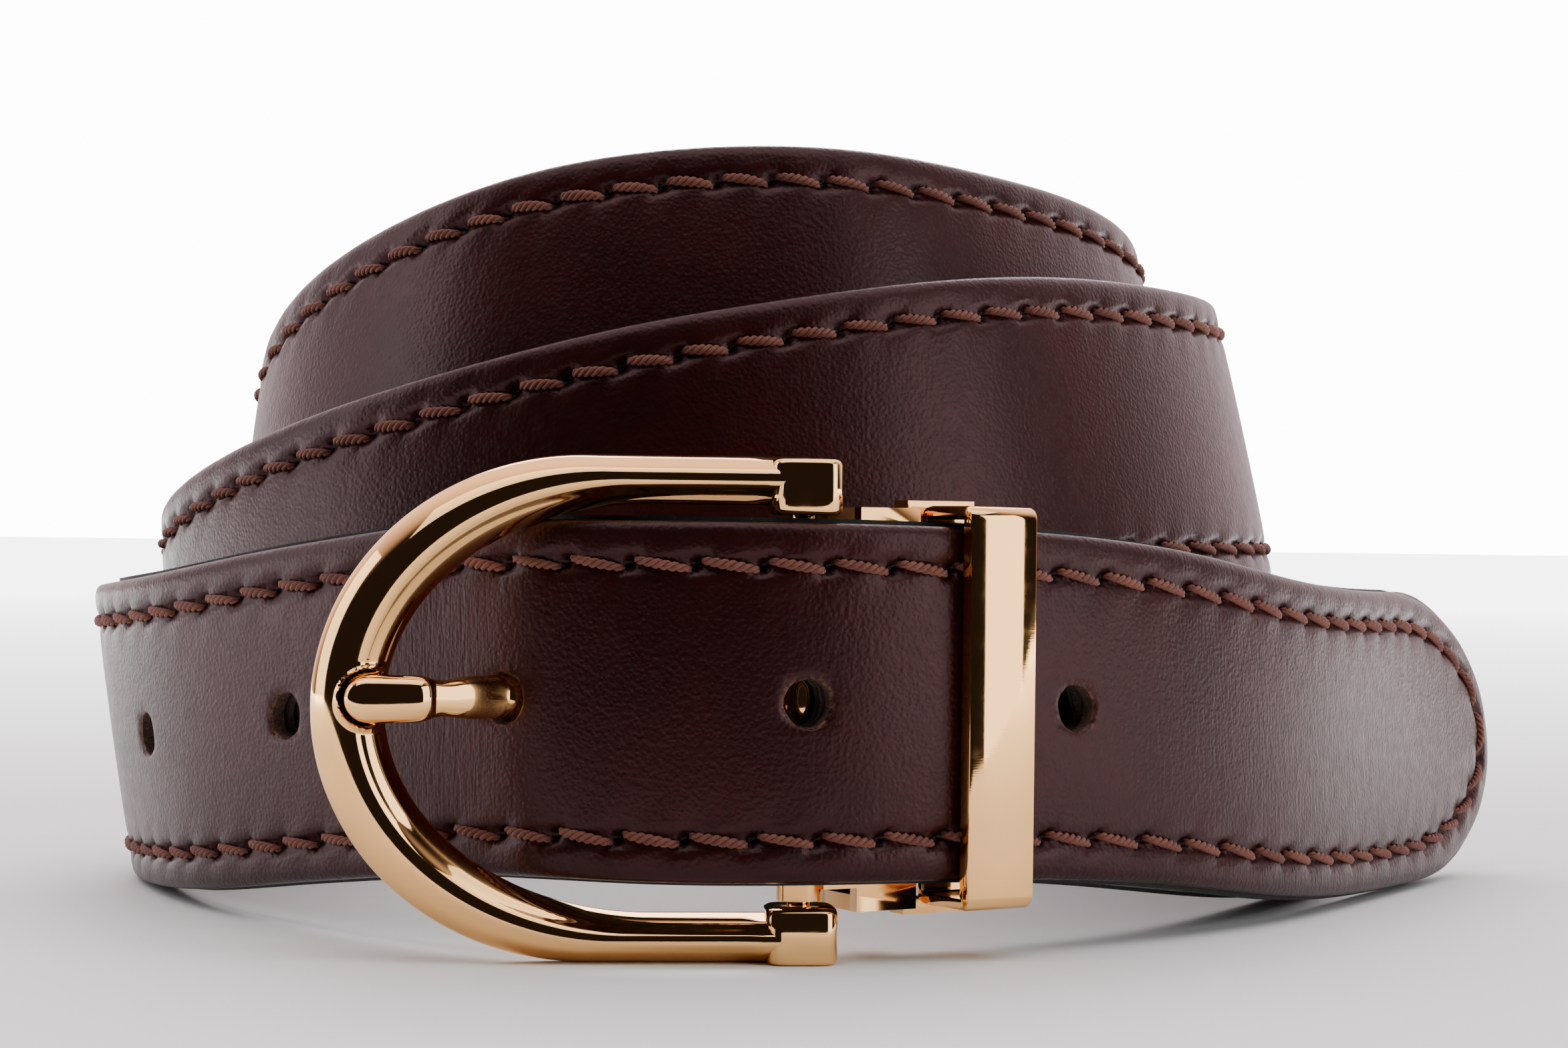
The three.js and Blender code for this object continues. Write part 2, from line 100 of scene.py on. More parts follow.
# ---- tip and holes ----
TIP_ROUND = 25.0
TIP_POWER = 2.05
HOLE_R = 1.9
HOLES = (90.3, 115.8, 141.2, 166.6, 192.0)
PRONG_HOLE = 2
RIM_DROP, RIM_FADE = 0.3, 0.13
# rings of points from a hole's rim out to the grid, as shares of the way
RIM_LEVELS = (0, 0.06, 0.14, 0.26, 0.42, 0.62, 0.82)
# room that the rings need past a hole, along the strap and across it
HOLE_MARGIN = (1.7, 1.5)
HOLE_TO_JOIN = 4
# the pulled hole: middle, half length, half height
FACE_SLOT = (141.1, 2.15, 1.95)
BACK_SLOT = (137.9, 5.2, 2.5)

# ---- grid of the strap's sheets ----
# step between rows: the face where the buckle holds it, the rest of the face, the plain layers
STEP_FRONT, STEP_FACE, STEP_PLAIN = 0.36, 0.45, 1.2
STEP_FRONT_UNTIL = 200
TIP_ROWS, TIP_LEAD = 14, 5.0
# shares of the half width between which the face's columns are closest together
SEAM_BAND = (0.88, 0.64)

# ---- buckle and clamp, from the hinge axis ----
HINGE = np.array((1.5, 7.0, 19.7))
FRAME_YAW = 5.0
CLAMP_TURN = 31.0
CENTRE = np.array((3.788, 60.924, 0.0))


def standing(lean):
    """Height of the strap's middle where its lower edge stands on the ground."""
    a = math.radians(abs(lean))
    lift = LINING_T[1] if lean < 0 else -LINING_T[0]
    return LINING_HALF * math.cos(a) + lift * math.sin(a) + STAND_CLEAR


# Stations along the outer face, from the tip to the clamped end:
# across, back, height of the middle (None: it stands on the ground), outward lean in degrees.
STATIONS = [
    (73, 88.6, None, -8), (64.2, 72.4, None, -7), (55, 54.4, 14.9, -4), (44.3, 35.6, 16.4, -3),
    (33.4, 22.4, 18.6, -2), (20.9, 11.9, 19.9, 0), (8, 3.7, 20.4, 0), (-4, 0.2, 20.5, 0),
    (-12, 0.9, 20.5, 0), (-18.5, 3.3, 20.5, 0), (-22.8, 6.2, 20.3, 1), (-27.6, 9.9, 20, 1),
    (-33.2, 14.4, 19.2, 2), (-43, 23.6, 17.5, 4), (-52.4, 34.8, 15.6, 6), (-59.4, 48, 14.4, 8),
    (-63.6, 63, None, 8), (-61.6, 80, 14.6, 4), (-52.6, 98, 17.2, 0), (-37.6, 111.8, 21.8, 0),
    (-19, 120, 28, 0), (0, 122, 34.6, -2), (17.6, 117.6, 40.4, -5), (31.6, 107.4, 43.8, -8),
    (41, 93, 44.8, -11), (44.8, 76, 43.2, -12), (43, 60.8, 42.8, -13), (36.8, 47.2, 42.9, -13),
    (27.4, 34.8, 42.8, -13), (15, 24, 41.6, -13), (1, 17.6, 39.3, -12), (-13, 16.4, 36.6, -9),
    (-27.6, 21.6, 33, -5), (-40.8, 31.4, 29.1, -1), (-51.4, 45, 25, 2), (-58.4, 62, 20.8, 4),
    (-56.9, 79.4, 19.8, 3), (-48.4, 94.8, 22.6, 0), (-34.4, 106.6, 27.6, -2), (-17, 113.8, 33.4, -4),
    (0, 114.4, 39, -6), (15.4, 109.4, 43.2, -8), (27.8, 99, 46, -10), (35.4, 85, 47.6, -12),
    (36.8, 69, 48.8, -13), (30.9, 53.9, 51, -14), (20, 39.7, 52.6, -15), (7, 30.2, 53.6, -15),
    (-8.4, 27, 53.2, -15), (-24.6, 29.4, 50.4, -13), (-38.5, 39.4, 45.6, -10), (-48.2, 53.2, 39.4, -7),
    (-52, 69.4, 32.6, -5), (-48, 85, 27, -2), (-37.6, 97.4, 22.6, 0), (-24, 105.2, 18.8, 0),
    (-6, 107.6, 15.8, 0), (12, 104.6, 14.6, 0), (28.8, 97.4, None, 0), (42.8, 88, None, 0),
    (51.2, 76, None, 0), (51.2, 60.8, 14.5, 0), (44.4, 46.2, 15.2, 0), (33.1, 29.7, 17.4, 0),
    (18.3, 16.5, 19.4, 0), (6.7, 9.5, 19.7, 0),
]


class StrapRoute:
    """The strap's route as a natural cubic spline through the stations."""

    PIECES = 4000

    def __init__(self, stations):
        rows = [(x, y, standing(lean) if z is None else z, lean) for x, y, z, lean in stations]
        self.rows = np.array(rows, float)
        chords = np.linalg.norm(np.diff(self.rows[:, :3], axis=0), axis=1)
        self.t = np.concatenate([[0], np.cumsum(chords)])
        n = len(rows)
        a = np.eye(n)
        b = np.zeros((n, 4))
        for i in range(1, n - 1):
            before, after = chords[i - 1], chords[i]
            a[i, i - 1:i + 2] = before, 2 * (before + after), after
            b[i] = 6 * ((self.rows[i + 1] - self.rows[i]) / after
                        - (self.rows[i] - self.rows[i - 1]) / before)
        self.m = np.linalg.solve(a, b)
        self.q = np.linspace(0, self.t[-1], self.PIECES + 1)
        steps = np.linalg.norm(np.diff(self.at(self.q)[:, :3], axis=0), axis=1)
        self.s = np.concatenate([[0], np.cumsum(steps)])
        self.length = self.s[-1]

    def at(self, q):
        """Station values (across, back, height, lean) at distances q along the chords."""
        i = np.clip(np.searchsorted(self.t, q, side="right") - 1, 0, len(self.t) - 2)
        h = self.t[i + 1] - self.t[i]
        a = (self.t[i + 1] - q) / h
        b = 1 - a
        bend = ((a ** 3 - a)[:, None] * self.m[i] + (b ** 3 - b)[:, None] * self.m[i + 1])
        return a[:, None] * self.rows[i] + b[:, None] * self.rows[i + 1] + bend * (h * h / 6)[:, None]

    def place(self, s, across, depth):
        """Points of the strap: distance along, height across its width, depth in from the face."""
        s, across, depth = np.broadcast_arrays(np.asarray(s, float), across, depth)
        shape = s.shape
        flat = s.ravel()
        q = np.interp(flat, self.s, self.q)
        q += np.minimum(flat, 0) + np.maximum(flat - self.length, 0)
        row = self.at(q)
        along = self.at(q + 0.2)[:, :3] - self.at(q - 0.2)[:, :3]
        along /= np.linalg.norm(along, axis=1)[:, None]
        climb = np.hypot(along[:, 0], along[:, 1])
        level = np.stack([-along[:, 1], along[:, 0], 0 * climb], 1) / climb[:, None]
        lean = np.radians(row[:, 3])[:, None]
        rise = np.array((0.0, 0.0, 1.0))
        out = level * np.cos(lean) - rise * np.sin(lean)
        up = (level * np.sin(lean) + rise * np.cos(lean)) / climb[:, None]
        p = row[:, :3] + up * across.ravel()[:, None] - out * depth.ravel()[:, None]
        return (p - CENTRE).reshape(*shape, 3)


route = StrapRoute(STATIONS)
FRONT_END = 151.0
STRETCHES = {
    "front": (0.0, FRONT_END),
    "turned": (FRONT_END, 176.0),
    "bottom_turn": (176.0, 345.0),
    "middle_turn": (345.0, 590.0),
    "top_turn": (590.0, 850.0),
    "tail": (850.0, route.length),
}
STANDS_FOR = {"front": ("tip", "fastened"), "turned": ("fastened",)}


# ---- light, metres ----
# where the world's light starts and ends to grow, towards the back and up, least and most
WORLD_RAMP = (0.16, 1.05, 0.02, 2.1)
WORLD_UP = 0.75
WORLD_COLOUR = (1.0, 0.81, 0.83, 1)
WHITE_STRENGTH = 14.0
FLOOR_SIZE = 5.0
FLOOR_FRONT = 0.16
# distances between which the floor starts to glow, least and most
FLOOR_GLOW = (0.12, 1.2, 0.0, 5.0)
LIGHT_TARGET = (0, 0, 0.03)
# name, place, width and height, power in watts
SOFT_BOXES = (
    ("left_box", (-0.5, -0.02, 0.12), (0.18, 0.5), 0.8),
    ("right_box", (0.5, -0.27, 0.12), (0.3, 0.5), 1.6),
    ("top_box", (0.0, -0.2, 0.5), (0.8, 0.3), 1.5),
    ("back_box", (0.0, 0.5, 0.5), (0.5, 0.3), 2.5),
)


# ---- materials ----
class Nodes:
    """A node tree, with short calls to add and join nodes."""

    def __init__(self, owner):
        owner.use_nodes = True
        self.tree = owner.node_tree

    def add(self, kind, inputs=None, **settings):
        node = self.tree.nodes.new("ShaderNode" + kind)
        for key, value in settings.items():
            setattr(node, key, value)
        for key, value in (inputs or {}).items():
            self.put(node.inputs[key], value)
        return node

    def put(self, socket, value):
        if isinstance(value, bpy.types.NodeSocket):
            self.tree.links.new(value, socket)
        else:
            socket.default_value = value

    def math(self, operation, a, b=0.0, c=0.0):
        return self.add("Math", {0: a, 1: b, 2: c}, operation=operation).outputs[0]

    def ramp(self, value, low, high, to_low=0.0, to_high=1.0):
        return self.add("MapRange", {0: value, 1: low, 2: high, 3: to_low, 4: to_high}).outputs[0]

    def mix(self, share, a, b):
        node = self.add("Mix", data_type="RGBA")
        for socket, value in zip((node.inputs[0], node.inputs[6], node.inputs[7]), (share, a, b)):
            self.put(socket, value)
        return node.outputs[2]

    def noise(self, where, scale, detail=2.0, rough=0.5, twist=0.0):
        return self.add("TexNoise", {"Vector": where, "Scale": scale, "Detail": detail,
                                     "Roughness": rough, "Distortion": twist}).outputs["Fac"]

    def stretched(self, where, scale):
        return self.add("Mapping", {"Vector": where, "Scale": scale}).outputs[0]

    def bump(self, height, strength, distance, normal=None):
        inputs = {"Height": height, "Strength": strength, "Distance": distance}
        if normal is not None:
            inputs["Normal"] = normal
        return self.add("Bump", inputs).outputs[0]


class Looks(Nodes):
    """A material and its principled shader, whose values are given by name."""

    def __init__(self, name, **values):
        self.material = bpy.data.materials.new(name)
        super().__init__(self.material)
        self.shader = self.tree.nodes["Principled BSDF"]
        for socket, value in values.items():
            self.to_shader(socket.replace("_", " "), value)

    def to_shader(self, socket, value):
        self.put(self.shader.inputs[socket], value)


# the face's burnished edge, from and to this far off the strap's middle line, metres
BURNISH = (0.0118, 0.0139)
# where the face is creased by use, metres along the strap: middle, full within, none beyond, strength
CREASED = ((0.147, 0.001, 0.008, 0.45), (0.052, 0.01, 0.045, 0.3))
LEAST_CREASE = 0.05


def srgb(r, g, b):
    """Linear colour of an 8-bit screen colour."""
    def linear(v):
        v /= 255
        return v / 12.92 if v <= 0.04045 else ((v + 0.055) / 1.055) ** 2.4
    return (linear(r), linear(g), linear(b), 1.0)


def face_leather():
    """Smooth calf: pores and grain, creases where it bends, painted shade in the needle slits, dark edges,
    worn hole rims.
    """
    n = Looks("calf_face", Coat_Weight=0.05, Coat_Roughness=0.2, Specular_IOR_Level=0.3,
              Specular_Tint=(1.0, 0.55, 0.58, 1))
    where = n.add("TexCoord").outputs["Object"]
    strap = n.add("UVMap", uv_map="strap").outputs[0]
    parts = n.add("SeparateXYZ", {0: strap}).outputs
    cloud = n.noise(where, 90.0, 4.0, 0.55)
    mottle = n.noise(where, 900.0, 3.0)
    tone = n.mix(n.ramp(cloud, 0.35, 0.65), srgb(35, 9, 8), srgb(48, 15, 13))
    tone = n.mix(n.ramp(mottle, 0.3, 0.7, 0.0, 0.35), tone, srgb(26, 7, 6))
    edge = n.ramp(n.math("ABSOLUTE", parts[1]), *BURNISH)
    tone = n.mix(n.math("MULTIPLY", edge, 0.55), tone, srgb(26, 9, 10))
    # painted shade: the needle slits are darkened to near black, standing in for the shade that falls into
    # them
    slit = n.add("Attribute", attribute_name="slit").outputs["Fac"]
    tone = n.mix(n.ramp(slit, 0.1, 0.5, 0.0, 0.9), tone, srgb(10, 3, 2))
    worn = n.math("MULTIPLY", n.add("Attribute", attribute_name="worn").outputs["Fac"],
                  n.ramp(n.noise(where, 2200.0, 3.0, 0.7), 0.4, 0.65))
    n.to_shader("Base Color", n.mix(n.ramp(worn, 0.08, 0.6, 0.0, 0.7), tone, srgb(112, 78, 64)))
    pores = n.add("TexVoronoi", {"Vector": where, "Scale": 3000.0}, feature="SMOOTH_F1")
    grain = n.noise(where, 5200.0, 3.0, 0.6)
    creases = n.noise(n.stretched(strap, (2600.0, 260.0, 1.0)), 1.0, 3.0, 0.65, 0.6)
    bent = LEAST_CREASE
    for middle, near, far, most in CREASED:
        gap = n.math("ABSOLUTE", n.math("SUBTRACT", parts[0], middle))
        bent = n.math("MAXIMUM", n.ramp(gap, near, far, most, 0.0), bent)
    n.to_shader("Roughness", n.ramp(mottle, 0.3, 0.7, 0.3, 0.38))
    normal = n.bump(pores.outputs["Distance"], 0.7, 0.00006)
    normal = n.bump(grain, 0.45, 0.00004, normal)
    crease_height = n.math("MULTIPLY", n.ramp(creases, 0.3, 0.62), bent)
    n.to_shader("Normal", n.bump(crease_height, 0.8, 0.0001, normal))
    return n.material


def raw_leather():
    """The cut through the face, in the walls of its holes."""
    n = Looks("calf_raw_cut", Roughness=0.9)
    where = n.add("TexCoord").outputs["Object"]
    fibre = n.noise(where, 2600.0, 4.0, 0.7, 1.5)
    n.to_shader("Base Color", n.mix(n.ramp(fibre, 0.35, 0.7), srgb(38, 24, 19), srgb(122, 92, 74)))
    n.to_shader("Normal", n.bump(fibre, 1.0, 0.0002))
    return n.material


def core_leather():
    """Bonded fibre between the face and the lining."""
    n = Looks("core_fibre", Roughness=0.85)
    where = n.add("TexCoord").outputs["Object"]
    fibre = n.noise(where, 1800.0, 4.0, 0.7)
    n.to_shader("Base Color", n.mix(fibre, srgb(26, 16, 13), srgb(60, 40, 31)))
    n.to_shader("Normal", n.bump(fibre, 0.8, 0.00015))
    return n.material


def lining_leather():
    """Near-black lining with pale flecks."""
    n = Looks("lining", Specular_IOR_Level=0.35)
    where = n.add("TexCoord").outputs["Object"]
    cloud = n.noise(where, 120.0, 3.0)
    fleck = n.noise(where, 2400.0, 3.0, 0.7)
    tone = n.mix(n.ramp(cloud, 0.3, 0.7), srgb(20, 25, 23), srgb(33, 38, 35))
    n.to_shader("Base Color", n.mix(n.ramp(fleck, 0.66, 0.8, 0.0, 0.6), tone, srgb(120, 125, 118)))
    n.to_shader("Roughness", n.ramp(cloud, 0.3, 0.7, 0.55, 0.7))
    pores = n.add("TexVoronoi", {"Vector": where, "Scale": 1500.0}).outputs["Distance"]
    n.to_shader("Normal", n.bump(fleck, 0.5, 0.0001, n.bump(pores, 0.35, 0.0001)))
    return n.material


def thread_fibre():
    """Waxed rust-brown thread."""
    n = Looks("waxed_thread", Roughness=0.6, Sheen_Weight=0.1, Sheen_Roughness=0.4,
              Specular_IOR_Level=0.4)
    where = n.add("TexCoord").outputs["Object"]
    cloud = n.noise(where, 260.0, 2.0)
    fibre = n.noise(where, 5200.0, 3.0, 0.7)
    tone = n.mix(n.ramp(cloud, 0.3, 0.7), srgb(112, 60, 45), srgb(138, 82, 65))
    n.to_shader("Base Color", n.mix(n.ramp(fibre, 0.3, 0.7, 0.0, 0.5), tone, srgb(70, 35, 26)))
    n.to_shader("Normal", n.bump(fibre, 0.6, 0.00005))
    return n.material


def gold_metal(name, low, high, polish):
    """Gold plate between two colours, with a base roughness and faint haze and scratches."""
    n = Looks(name, Metallic=1.0)
    where = n.add("TexCoord").outputs["Object"]
    cloud = n.noise(where, 60.0, 3.0)
    haze = n.noise(where, 700.0, 4.0, 0.6)
    scratch = n.noise(n.stretched(where, (400.0, 400.0, 9000.0)), 1.0, 2.0, 0.6, 0.4)
    n.to_shader("Base Color", n.mix(cloud, low, high))
    worn = n.math("MULTIPLY", n.ramp(haze, 0.45, 0.8), 0.05)
    n.to_shader("Roughness", n.math("ADD", worn, polish))
    n.to_shader("Normal", n.bump(scratch, 0.03, 0.00002))
    return n.material


FACE = face_leather()
RAW = raw_leather()
CORE = core_leather()
LINING = lining_leather()
THREAD = thread_fibre()
GOLD = gold_metal("champagne_gold", srgb(242, 186, 118), srgb(250, 196, 128), 0.045)
GOLD_BACK = gold_metal("clamp_gold", srgb(226, 170, 104), srgb(236, 180, 114), 0.14)


# ---- meshes ----
def linked(name, data):
    """A new object in the scene."""
    o = bpy.data.objects.new(name, data)
    bpy.context.scene.collection.objects.link(o)
    return o


def mesh_object(name, points, groups, materials, uv=None):
    """An object from points in millimetres and (quads, material index) groups, shaded smooth."""
    quads = np.concatenate([q.reshape(-1, 4) for q, _ in groups])
    index = np.concatenate([np.full(len(q.reshape(-1, 4)), k) for q, k in groups])
    mesh = bpy.data.meshes.new(name)
    mesh.vertices.add(len(points))
    mesh.vertices.foreach_set("co", (points * MM).astype(np.float32).ravel())
    mesh.loops.add(quads.size)
    mesh.loops.foreach_set("vertex_index", quads.astype(np.int32).ravel())
    mesh.polygons.add(len(quads))
    mesh.polygons.foreach_set("loop_start", np.arange(0, quads.size, 4, dtype=np.int32))
    mesh.polygons.foreach_set("material_index", index.astype(np.int32))
    mesh.polygons.foreach_set("use_smooth", np.ones(len(quads), bool))
    for material in materials:
        mesh.materials.append(material)
    if uv is not None:
        uv_layer = mesh.uv_layers.new(name="strap")
        uv_layer.data.foreach_set("uv", (uv[quads.ravel()] * MM).astype(np.float32).ravel())
    mesh.update(calc_edges=True)
    mesh.validate()
    return linked(name, mesh)


def tip_share(s):
    """Share of the full half width left near the rounded tip."""
    d = np.clip(np.maximum(s, 0.25) / TIP_ROUND, 0, 1)
    return (1 - (1 - d) ** TIP_POWER) ** (1 / TIP_POWER)


def tip_outline(inset, count=160):
    """Distance along and height of the rounded tip's edge, moved in by inset."""
    angle = np.linspace(0, math.pi / 2, count)
    d = 1 - np.cos(angle) ** (2 / TIP_POWER)
    share = (1 - (1 - d) ** TIP_POWER) ** (1 / TIP_POWER)
    return inset + d * TIP_ROUND, (FACE_HALF - inset) * share


def seam_path():
    """Points (distance along, height) of the seam: upper row, round the tip, lower row."""
    s, a = tip_outline(FACE_HALF - ROW_OFFSET)
    run = np.arange(route.length - SEAM_END, s[-1] + 0.5, -0.5)
    upper = np.concatenate([np.stack([run, np.full_like(run, ROW_OFFSET)], 1),
                            np.stack([s, a], 1)[::-1]])
    lower = (upper * (1, -1))[::-1][1:]
    return np.concatenate([upper, lower])


SEAM = seam_path()
SEAM_AT = np.concatenate([[0], np.cumsum(np.linalg.norm(np.diff(SEAM, axis=0), axis=1))])


def needle_holes():
    """Places of the needle holes along the seam, a little uneven."""
    holes = [FIRST_HOLE]
    while holes[-1] < SEAM_AT[-1] - 6:
        s = np.interp(holes[-1], SEAM_AT, SEAM[:, 0])
        pitch = STITCH_LONG if s < LONG_UNTIL else STITCH_SHORT
        holes.append(holes[-1] + pitch + RANDOM.normal(0, PITCH_SPREAD))
    return np.array(holes)


NEEDLE = needle_holes()


def seam_place(s, a):
    """Nearest place on the seam and signed distance from it (positive towards the strap's middle)."""
    straight = SEAM[:, 0].max() - s
    place = np.where(a > 0, straight, SEAM_AT[-1] - straight)
    off = ROW_OFFSET - np.abs(a)
    near = s < TIP_ROUND + 6
    if near.any():
        loop = SEAM[:, 0] < TIP_ROUND + 12
        points, at = SEAM[loop], SEAM_AT[loop]
        here = np.stack([s[near], a[near]], 1)
        gap = np.linalg.norm(here[:, None] - points[None], axis=2)
        k = gap.argmin(1)
        inward = np.array((TIP_ROUND + 8, 0.0)) - points
        inward /= np.linalg.norm(inward, axis=1)[:, None]
        side = np.sign(np.einsum("ij,ij->i", here - points[k], inward[k]))
        place[near] = at[k]
        off[near] = gap[np.arange(len(k)), k] * side
    return place, off


def slits(place, off):
    """How deep in a needle slit each place lies, 0 to 1: short cuts slanted across the seam. It shapes the
    pits and places the painted shade in them.
    """
    k = np.clip(np.searchsorted(NEEDLE, place), 1, len(NEEDLE) - 1)
    before, after = place - NEEDLE[k - 1], place - NEEDLE[k]
    from_hole = np.where(before < -after, before, after)
    across, along = (from_hole + off) / math.sqrt(2), (from_hole - off) / math.sqrt(2)
    inside = (place > 0) & (place < SEAM_AT[-1])
    return np.exp(-(across / SLIT[0]) ** 2 - (along / SLIT[1]) ** 2) * inside


def seam_dent(place, off):
    """Depth pressed into the face by the stitches, their needle holes and the puckers beside."""
    k = np.clip(np.searchsorted(NEEDLE, place), 1, len(NEEDLE) - 1)
    before, after = place - NEEDLE[k - 1], NEEDLE[k] - place
    share = before / (before + after)
    line = (0.5 - share) * 2 * STITCH_SLANT
    groove = GROOVE * np.exp(-((off - line) / GROOVE_WIDTH) ** 2)
    pit = PIT * slits(place, off)
    wave = np.cos(2 * math.pi * (share + PUCKER_SKEW * off))
    pucker = PUCKER * wave * np.exp(-np.abs(off) / PUCKER_WIDTH)
    inside = (place > 0) & (place < SEAM_AT[-1])
    return (groove + pit + pucker) * inside


def face_front(s, a):
    """Depth of the face's outer surface: rounded edges, dome between the rows, the seam's dents."""
    place, off = seam_place(s, a)
    edge = np.clip((FACE_HALF - ROW_OFFSET) + off, 0, EDGE_ROUND)
    rounding = EDGE_DROP * (1 - np.sqrt(1 - (1 - edge / EDGE_ROUND) ** 2))
    dome = DOME * (1 - np.exp(-np.maximum(off, 0) / DOME_WIDTH))
    rise, beside, width = BEAD
    bead = rise * np.exp(-((off + beside) / width) ** 2)
    return rounding - dome - bead + seam_dent(place, off)


def rows_of(s0, s1, step):
    """Distances along the strap of a sheet's rows, closer together at the tip's very end."""
    count = max(2, int(round((s1 - s0) / step)) + 1)
    rows = np.linspace(s0, s1, count)
    if s0 > 0:
        return rows
    lead = np.linspace(0, 1, TIP_ROWS) ** 2.2 * TIP_LEAD
    return np.concatenate([lead, rows[rows > TIP_LEAD + 0.2]])


def columns_of(fine):
    """Places across the width, as shares of the half width, closer together at the seam and edge."""
    if not fine:
        return np.linspace(-1, 1, 13)
    edge = 1 - np.linspace(0, 1, 8)[:-1] ** 1.5 * (1 - SEAM_BAND[0])
    seam = np.linspace(*SEAM_BAND, 15)
    middle = np.linspace(SEAM_BAND[1], 0, 11)[1:]
    half = np.concatenate([edge, seam, middle])
    return np.concatenate([-half, half[::-1][1:]])


def ring_of(i0, i1, j0, j1):
    """Grid indices round a block, anticlockwise with heights across and distances up."""
    return ([(i0, j) for j in range(j0, j1)] + [(i, j1) for i in range(i0, i1)]
            + [(i1, j) for j in range(j1, j0, -1)] + [(i, j0) for i in range(i1, i0, -1)])


def hole_rings(rows, S, A, k, slot):
    """The grid block to leave out round a hole, the points round it, and rings from the rim out."""
    middle, long_r, high_r = slot if k == PRONG_HOLE else (HOLES[k], HOLE_R, HOLE_R)
    reach_s, reach_a = long_r + HOLE_MARGIN[0], high_r + HOLE_MARGIN[1]
    i0, i1 = np.searchsorted(rows, (middle - reach_s, middle + reach_s))
    j0, j1 = np.searchsorted(A[i0], (-reach_a, reach_a))
    around = np.array([i * A.shape[1] + j for i, j in ring_of(i0, i1, j0, j1)])
    s, a = S.ravel()[around], A.ravel()[around]
    angle = np.arctan2(a / high_r, (s - middle) / long_r)
    ragged = 1 + 0.02 * np.sin(3 * angle + k) + 0.015 * np.sin(7 * angle + 2 * k)
    rim_s, rim_a = middle + long_r * ragged * np.cos(angle), high_r * ragged * np.sin(angle)
    rings = [(rim_s * (1 - t) + s * t, rim_a * (1 - t) + a * t) for t in RIM_LEVELS]
    return (slice(i0, i1), slice(j0, j1)), around, rings


def flat_at(depth):
    """The front of a plain layer: one depth all over."""
    return lambda s, a: np.full_like(s, depth)


def strips(line, following, depth):
    """Quads of the wall behind a line of points, whose back points come depth places later."""
    return np.stack([line, line + depth, following + depth, following], -1)


def layer(name, stretch, half, front, back, fine, materials, slot):
    """One layer of a stretch of strap as a closed sheet with its punched holes."""
    s0, s1 = STRETCHES[stretch]
    step = STEP_PLAIN if not fine else STEP_FRONT if s1 < STEP_FRONT_UNTIL else STEP_FACE
    rows, shares = rows_of(s0, s1, step), columns_of(fine)
    n, m = len(rows), len(shares)
    S = np.repeat(rows[:, None], m, 1)
    A = shares[None] * half * tip_share(S)
    keep = np.ones((n - 1, m - 1), bool)
    flat_s, flat_a, rim_drop = [S.ravel()], [A.ravel()], [np.zeros(n * m)]
    count = n * m
    holes = []
    for k, centre in enumerate(HOLES):
        if not s0 + HOLE_TO_JOIN < centre < s1 - HOLE_TO_JOIN:
            continue
        left_out, around, rings = hole_rings(rows, S, A, k, slot)
        keep[left_out] = False
        ids = []
        for t, (ring_s, ring_a) in zip(RIM_LEVELS, rings):
            flat_s.append(ring_s)
            flat_a.append(ring_a)
            rim_drop.append(np.full(len(around), RIM_DROP * math.exp(-t / RIM_FADE)))
            ids.append(np.arange(count, count + len(around)))
            count += len(around)
        holes.append(ids + [around])
    s, a, drop = np.concatenate(flat_s), np.concatenate(flat_a), np.concatenate(rim_drop)
    top = front(s, a) + drop
    bottom = np.broadcast_to(back, s.shape) - drop * 0.5
    points = np.concatenate([route.place(s, a, top), route.place(s, a, bottom)])
    grid = np.arange(n * m).reshape(n, m)
    patches = [np.stack([grid[:-1, :-1], grid[:-1, 1:], grid[1:, 1:], grid[1:, :-1]], -1)[keep]]
    walls = []
    for rings in holes:
        for inner, outer in zip(rings[:-1], rings[1:]):
            patches.append(np.stack([inner, outer, np.roll(outer, -1), np.roll(inner, -1)], -1))
        walls.append(strips(np.roll(rings[0], -1), rings[0], count))
    surface = np.concatenate(patches)
    low, high, start, end = grid[:, 0], grid[:, -1], grid[0], grid[-1]
    groups = [(surface, 0), (surface[:, ::-1] + count, 0),
              (strips(high[:-1], high[1:], count), 1), (strips(low[1:], low[:-1], count), 1),
              (np.stack([end[:-1], end[1:], end[1:] + count, end[:-1] + count], -1), 1),
              (np.stack([start[:-1] + count, start[1:] + count, start[1:], start[:-1]], -1), 1)]
    if walls:
        groups.append((np.concatenate(walls), len(materials) - 1))
    o = mesh_object(name, points, groups, materials, np.stack([np.tile(s, 2), np.tile(a, 2)], 1))
    if fine:
        # slit carries the painted shade of the needle slits into the face's colour; worn marks the rubbed
        # hole rims
        for label, value in (("slit", slits(*seam_place(s, a))), ("worn", drop / RIM_DROP)):
            mark = o.data.attributes.new(label, "FLOAT", "POINT")
            mark.data.foreach_set("value", np.tile(value, 2))
    for line in (start, end, low, high, *[rings[0] for rings in holes]):
        sharpen(o, np.concatenate([line, line + count]), count)
    return o


def sharpen(o, points, count):
    """Marks the edges that run along a line of points as sharp, in front and behind."""
    edges = np.zeros(len(o.data.edges) * 2, np.int32)
    o.data.edges.foreach_get("vertices", edges)
    edges = edges.reshape(-1, 2)
    listed = np.zeros(len(o.data.vertices), bool)
    listed[points] = True
    along = listed[edges].all(1) & ((edges[:, 0] < count) == (edges[:, 1] < count))
    attributes = o.data.attributes
    sharp = attributes.get("sharp_edge") or attributes.new("sharp_edge", "BOOLEAN", "EDGE")
    marked = np.zeros(len(edges), bool)
    sharp.data.foreach_get("value", marked)
    sharp.data.foreach_set("value", marked | along)


